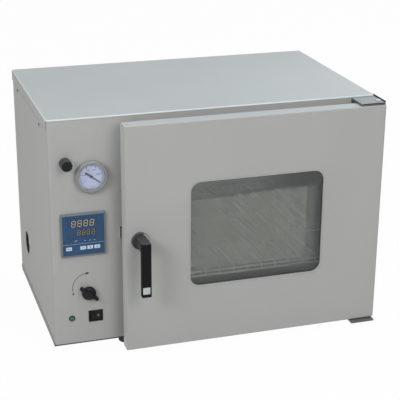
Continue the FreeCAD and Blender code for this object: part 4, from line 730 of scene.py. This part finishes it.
def bar_radius(angle, root, tip, reach):
    """The radius of a two-eared bar whose flanks curve in from its root to its tips."""
    c, s = abs(math.cos(angle - KNOB_ANGLE)), abs(math.sin(angle - KNOB_ANGLE))
    low, high = 0.0, reach
    for _ in range(SEARCH_STEPS):
        middle = (low + high) / 2
        u, v = middle * c, middle * s
        flank = tip + (root - tip) * max(0, 1 - u / (reach * FLANK_SHARE)) ** FLANK_CURVE
        inside = u < reach and v < flank
        low, high = (middle, high) if inside else (low, middle)
    return low


def eared(disc_radius, root, tip, reach):
    """A ring that follows the disc, or the bar where that stands out of it."""
    return around(lambda a: max(disc_radius, bar_radius(a, root, tip, reach)), KNOB_POINTS)


vent_x, vent_z = middle_of("vent_valve_knob")
vent_proud = -place("vent_valve_knob")[0].y + VENT_EXTRA
# The vent knob's fluted body takes the paler plastic, a painted highlight on its sides; the cap stays black
lathe_rings("vent_knob", [
    (-1.0, around(lambda a: SPINDLE_RADIUS)),
    (2.0, around(lambda a: SPINDLE_RADIUS)),
    (2.0, fluted(VENT_RADIUS - 0.8, 0)),
    (2.6, fluted(VENT_RADIUS, 0.1)),
    (4.0, fluted(VENT_RADIUS, 0.5)),
    (vent_proud - 3.5, fluted(VENT_RADIUS, 0.5)),
    (vent_proud - 1.2, fluted(VENT_RADIUS - 0.3, 0.4)),
    (vent_proud - 0.3, fluted(VENT_RADIUS - 1.2, 0.1)),
    (vent_proud, fluted(VENT_RADIUS - 2.4, 0)),
    (vent_proud - 0.1, fluted(VENT_RADIUS - 4.2, 0)),
    (vent_proud - 0.6, fluted(VENT_RADIUS - 5.0, 0)),
    (vent_proud - 0.7, around(lambda a: VENT_DIMPLE))],
    KNOB_SIDE_HIGHLIGHT, "vent_knob", "knob_plastic", vent_x, vent_z)
cap = bmesh.new()
prism(cap, disc(vent_x, vent_z, VENT_RADIUS - CAP_MARGIN, CAP_STEPS), CAP_SUNK - vent_proud,
      -CAP_PROUD - vent_proud)
piece("vent_knob_cap", cap, FINISHES["knob_plastic"], "vent_knob")
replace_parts(bpy.data.objects["vent_knob"], "vent_valve_knob")

knob_proud = -place("vacuum_valve_knob")[0].y
lathe_rings("valve_knob", [
    (-1.0, around(lambda a: SPINDLE_RADIUS, KNOB_POINTS)),
    (1.5, around(lambda a: SPINDLE_RADIUS, KNOB_POINTS)),
    (1.5, eared(KNOB_RADIUS - 0.8, 8.6, 3.0, EAR_REACH - 1.2)),
    (2.3, eared(KNOB_RADIUS, 9.2, 3.8, EAR_REACH)),
    (6.2, eared(KNOB_RADIUS, 9.2, 3.8, EAR_REACH)),
    (7.6, eared(KNOB_RADIUS - 0.5, 9.0, 3.8, EAR_REACH)),
    (8.6, eared(KNOB_RADIUS - 2.0, 8.6, 3.7, EAR_REACH)),
    (9.2, eared(KNOB_RADIUS - 4.5, 8.2, 3.7, EAR_REACH)),
    (10.2, eared(0, 8.0, 3.6, EAR_REACH - 0.2)),
    (knob_proud - 2.2, eared(0, 7.4, 3.4, EAR_REACH - 0.4)),
    (knob_proud - 0.8, eared(0, 6.8, 3.0, EAR_REACH - 0.9)),
    (knob_proud - 0.1, eared(0, 5.6, 2.0, EAR_REACH - 2.0)),
    (knob_proud, eared(0, 4.2, 1.0, EAR_REACH - 3.4))],
    FINISHES["knob_plastic"], "vacuum_knob", "knob_plastic", *middle_of("vacuum_valve_knob"))
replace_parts(bpy.data.objects["valve_knob"], "vacuum_valve_knob")

# Rocker marks, laid on the two sloping halves between the (x, y) corners of the rocker's front
ROCKER_EDGES = ((81.5, -4.45), (92.4, -0.5), (103.9, -1.3))
MARK_SUNK, MARK_PROUD = -0.3, 0.08
ON_BAR, OFF_RING = (-0.5, 0, 5.0, 0.7, 90), (-0.4, 0.2, 2.0, 1.1, 0, 359.9, 32)
rocker_z = middle_of("switch_rocker")[1]


def on_rocker(mesh, outline, side):
    """Lay an outline of (u, v) points, u along the slope from its middle, on one half of the rocker."""
    (x0, y0), (x1, y1) = ROCKER_EDGES[side], ROCKER_EDGES[side + 1]
    long = math.hypot(x1 - x0, y1 - y0)
    along, out = ((x1 - x0) / long, (y1 - y0) / long), ((y1 - y0) / long, -(x1 - x0) / long)
    rings = []
    for lift in (MARK_SUNK, MARK_PROUD):
        rings.append([mesh.verts.new(at((x0 + x1) / 2 + u * along[0] + lift * out[0],
                                        (y0 + y1) / 2 + u * along[1] + lift * out[1], rocker_z + v))
                      for u, v in outline])
    mesh.faces.new(rings[0])
    mesh.faces.new(rings[1][::-1])
    bridge(mesh, rings[0], rings[1])


on_mark, off_mark = bmesh.new(), bmesh.new()
on_rocker(on_mark, bar(*ON_BAR), 0)
on_rocker(off_mark, arc(*OFF_RING), 1)
piece("rocker_bar", on_mark, ROCKER_DIM, "rocker")
piece("rocker_ring", off_mark, ROCKER_MARK, "rocker")

# Painted reflection on the inner glass, and painted shade in its upper right corner
REFLECTION_LEFT, REFLECTION_RIGHT, REFLECTION_BOTTOM, REFLECTION_TOP = 268, 562, 150, 325
REFLECTION_DROP, REFLECTION_SIDE_FADE, REFLECTION_BOTTOM_FADE = 10, 8, 14
REFLECTION_STRENGTH, REFLECTION_GAP, REFLECTION_THICKNESS = 0.53, 0.1, 0.2
PATCH_SCALE, PATCH_STRETCH, PATCH_RANGE = 14, (1, 1, 0.6), (0.88, 1.0)
STREAK_ANGLE, STREAK_SCALE, STREAK_STRETCH, STREAK_RANGE = -47, 210, (0.02, 1, 1), (0.94, 1.04)
DUSK_LEFT, DUSK_RIGHT, DUSK_BOTTOM, DUSK_TOP = 430, 604, 316, 372
DUSK_FULL_X, DUSK_FULL_Z, DUSK_STRENGTH = 595, 334, 0.6
DUSK_BACK, DUSK_FRONT = 0.4, 0.6


def ramp(tree, source, start, end):
    """0 at start and 1 at end, smooth between."""
    ranged = tree.nodes.new("ShaderNodeMapRange")
    ranged.interpolation_type = "SMOOTHSTEP"
    ranged.inputs["From Min"].default_value = start
    ranged.inputs["From Max"].default_value = end
    tree.links.new(source, ranged.inputs["Value"])
    return ranged.outputs["Result"]


def times(tree, first, second):
    """The product of two values; the second may be a number."""
    product = tree.nodes.new("ShaderNodeMath")
    product.operation = "MULTIPLY"
    tree.links.new(first, product.inputs[0])
    if isinstance(second, float):
        product.inputs[1].default_value = second
    else:
        tree.links.new(second, product.inputs[1])
    return product.outputs[0]


def object_axes(tree):
    """The object's own coordinates, as a vector and split into axes."""
    coordinates = tree.nodes.new("ShaderNodeTexCoord").outputs["Object"]
    split = tree.nodes.new("ShaderNodeSeparateXYZ")
    tree.links.new(coordinates, split.inputs[0])
    return coordinates, split.outputs


# The painted reflection: a pale sheet just before the inner glass, mottled and streaked, fading at its right
# and bottom
reflection_back = place("inner_glass")[0].y - REFLECTION_GAP
reflection = bmesh.new()
prism(reflection, [(REFLECTION_LEFT, REFLECTION_BOTTOM), (REFLECTION_RIGHT, REFLECTION_BOTTOM), (REFLECTION_RIGHT, REFLECTION_TOP),
             (REFLECTION_LEFT, REFLECTION_TOP - REFLECTION_DROP)], reflection_back, reflection_back - REFLECTION_THICKNESS)
reflection_paint = finish("window_painted_reflection", linear(150, 152, 144), 0.6, grain=60, relief=0.0, tone=0.05, patch=30)
tree = reflection_paint.node_tree
coordinates, axes = object_axes(tree)
reflection_right, reflection_low = at(REFLECTION_RIGHT, 0, 0).x, at(0, 0, REFLECTION_BOTTOM).z
mask = ramp(tree, axes["X"], reflection_right, reflection_right - REFLECTION_SIDE_FADE * MM)
mask = times(tree, mask, ramp(tree, axes["Z"], reflection_low, reflection_low + REFLECTION_BOTTOM_FADE * MM))
patches = noise(tree, coordinates, PATCH_SCALE, 2, PATCH_STRETCH)
slant = tree.nodes.new("ShaderNodeMapping")
slant.inputs["Rotation"].default_value = (0, math.radians(STREAK_ANGLE), 0)
tree.links.new(coordinates, slant.inputs["Vector"])
streaks = noise(tree, slant.outputs["Vector"], STREAK_SCALE, 0, STREAK_STRETCH)
mask = times(tree, times(tree, mask, spread(tree, patches, *PATCH_RANGE)), REFLECTION_STRENGTH)
mask = times(tree, mask, spread(tree, streaks, *STREAK_RANGE))
tree.links.new(mask, tree.nodes["Principled BSDF"].inputs["Alpha"])
piece("window_painted_reflection", reflection, reflection_paint, "door")

# The painted shade: a dark sheet before the reflection, darkest in the upper right corner
dusk = bmesh.new()
prism(dusk, [(DUSK_LEFT, DUSK_BOTTOM), (DUSK_RIGHT, DUSK_BOTTOM), (DUSK_RIGHT, DUSK_TOP),
             (DUSK_LEFT, DUSK_TOP)], reflection_back - DUSK_BACK, reflection_back - DUSK_FRONT)
dusk_paint = finish("window_painted_shade", linear(20, 21, 20), 0.7, grain=60, relief=0.0, tone=0.05, patch=30,
                    Specular_IOR_Level=0.0)
tree = dusk_paint.node_tree
coordinates, axes = object_axes(tree)
mask = ramp(tree, axes["X"], at(DUSK_LEFT, 0, 0).x, at(DUSK_FULL_X, 0, 0).x)
mask = times(tree, mask, ramp(tree, axes["Z"], at(0, 0, DUSK_BOTTOM).z, at(0, 0, DUSK_FULL_Z).z))
tree.links.new(times(tree, mask, DUSK_STRENGTH), tree.nodes["Principled BSDF"].inputs["Alpha"])
piece("window_painted_shade", dusk, dusk_paint, "door")

# Lower edge strip: painted shadow under the front sheet left of the door and under the left side
STRIP_LEFT, STRIP_FRONT, STRIP_WIDTH = 0.8, 1.2, 3
STRIP_RIGHT, STRIP_BACK = 147, 430
STRIP_LOW, STRIP_HIGH = -3.6, 0.2

strip = bmesh.new()
box_between(strip, (STRIP_LEFT, STRIP_FRONT, STRIP_LOW), (STRIP_RIGHT, STRIP_FRONT + STRIP_WIDTH, STRIP_HIGH))
box_between(strip, (STRIP_LEFT, STRIP_FRONT + STRIP_WIDTH, STRIP_LOW),
            (STRIP_LEFT + STRIP_WIDTH, STRIP_BACK, STRIP_HIGH))
piece("lower_edge_painted_shadow", strip, SHADOW_LINE, "cabinet")

# Camera
AZIMUTH, ELEVATION, ROLL = (math.radians(angle) for angle in (-17.667, 20.596, 0.4576))
CAMERA_PLACE = (-375.4, -2205.2, 1170.4)
FOCAL_LENGTH, SENSOR = 103.57, 36

back = Vector((math.sin(AZIMUTH) * math.cos(ELEVATION), -math.cos(AZIMUTH) * math.cos(ELEVATION),
               math.sin(ELEVATION)))
right = (-back).cross(Vector((0, 0, 1))).normalized()
up = back.cross(right)
right, up = (right * math.cos(ROLL) + up * math.sin(ROLL), up * math.cos(ROLL) - right * math.sin(ROLL))
lens = bpy.data.cameras.new("camera")
lens.lens = FOCAL_LENGTH
lens.sensor_width = SENSOR
camera = bpy.data.objects.new("camera", lens)
bpy.context.scene.collection.objects.link(camera)
turn = Matrix((right, up, back)).transposed().to_4x4()
camera.matrix_world = Matrix.Translation(at(*CAMERA_PLACE)) @ turn
bpy.context.scene.camera = camera

# Lamps, in metres and watts
MIDDLE, UPPER_MIDDLE = (0, 0, 0.3), (0, 0, 0.45)


def area_lamp(name, position, aim, size, power, color=(1, 1, 1)):
    """A large soft lamp at a position, turned to its aim."""
    lamp = bpy.data.lights.new(name, "AREA")
    lamp.shape = "DISK"
    lamp.size = size
    lamp.energy = power
    lamp.color = color
    thing = bpy.data.objects.new(name, lamp)
    bpy.context.scene.collection.objects.link(thing)
    thing.location = position
    thing.rotation_euler = (Vector(position) - Vector(aim)).to_track_quat("Z", "Y").to_euler()


area_lamp("top_lamp", (0.5, -0.4, 2.8), MIDDLE, size=2.2, power=38.2, color=(0.705, 0.889, 1))
area_lamp("front_lamp", (0.7, -3.0, 2.0), MIDDLE, size=1.6, power=26.1, color=(1, 0.917, 0.871))
area_lamp("left_lamp", (-2.4, -1.9, 1.9), UPPER_MIDDLE, size=1.2, power=34, color=(0.98, 1, 0.94))
area_lamp("back_lamp", (2.2, 2.4, 1.8), MIDDLE, size=1.6, power=14)

# World and floor: white where they are seen directly, in metal or through glass, and plain as light
WORLD_LIGHT, WHITE = 0.28, 1.0
FLOOR_RADIUS, FLOOR_SHARE = 9, 0.98


def seen_directly(tree):
    """1 for camera, glossy and transmission rays, 0 for others."""
    path = tree.nodes.new("ShaderNodeLightPath")
    first = tree.nodes.new("ShaderNodeMath")
    first.operation = "MAXIMUM"
    tree.links.new(path.outputs["Is Camera Ray"], first.inputs[0])
    tree.links.new(path.outputs["Is Glossy Ray"], first.inputs[1])
    second = tree.nodes.new("ShaderNodeMath")
    second.operation = "MAXIMUM"
    tree.links.new(first.outputs[0], second.inputs[0])
    tree.links.new(path.outputs["Is Transmission Ray"], second.inputs[1])
    return second.outputs[0]


def blend(tree, share, first, second, output):
    """Lead a blend of two shaders to the output: the first at share 0 and the second at share 1."""
    choice = tree.nodes.new("ShaderNodeMixShader")
    tree.links.new(share, choice.inputs["Fac"])
    tree.links.new(first.outputs[0], choice.inputs[1])
    tree.links.new(second.outputs[0], choice.inputs[2])
    tree.links.new(choice.outputs[0], tree.nodes[output].inputs["Surface"])


world = bpy.data.worlds.new("studio")
bpy.context.scene.world = world
world.use_nodes = True
tree = world.node_tree
plain = tree.nodes["Background"]
plain.inputs["Color"].default_value = (1, 1, 1, 1)
plain.inputs["Strength"].default_value = WORLD_LIGHT
white = tree.nodes.new("ShaderNodeBackground")
white.inputs["Color"].default_value = (1, 1, 1, 1)
white.inputs["Strength"].default_value = WHITE
blend(tree, seen_directly(tree), plain, white, "World Output")

floor_mesh = bmesh.new()
bmesh.ops.create_circle(floor_mesh, cap_ends=True, segments=96, radius=FLOOR_RADIUS)
floor_data = bpy.data.meshes.new("floor")
floor_mesh.to_mesh(floor_data)
floor_mesh.free()
floor = bpy.data.objects.new("floor", floor_data)
bpy.context.scene.collection.objects.link(floor)
floor_paint = finish("floor_paint", (0.6, 0.6, 0.6, 1), 0.9, grain=3, relief=0.0, patch=0.6, tone=0.01)
tree = floor_paint.node_tree
glow = tree.nodes.new("ShaderNodeEmission")
glow.inputs["Strength"].default_value = WHITE
blend(tree, times(tree, seen_directly(tree), FLOOR_SHARE), tree.nodes["Principled BSDF"], glow,
      "Material Output")
floor_data.materials.append(floor_paint)

bpy.context.scene.view_settings.view_transform = "Standard"
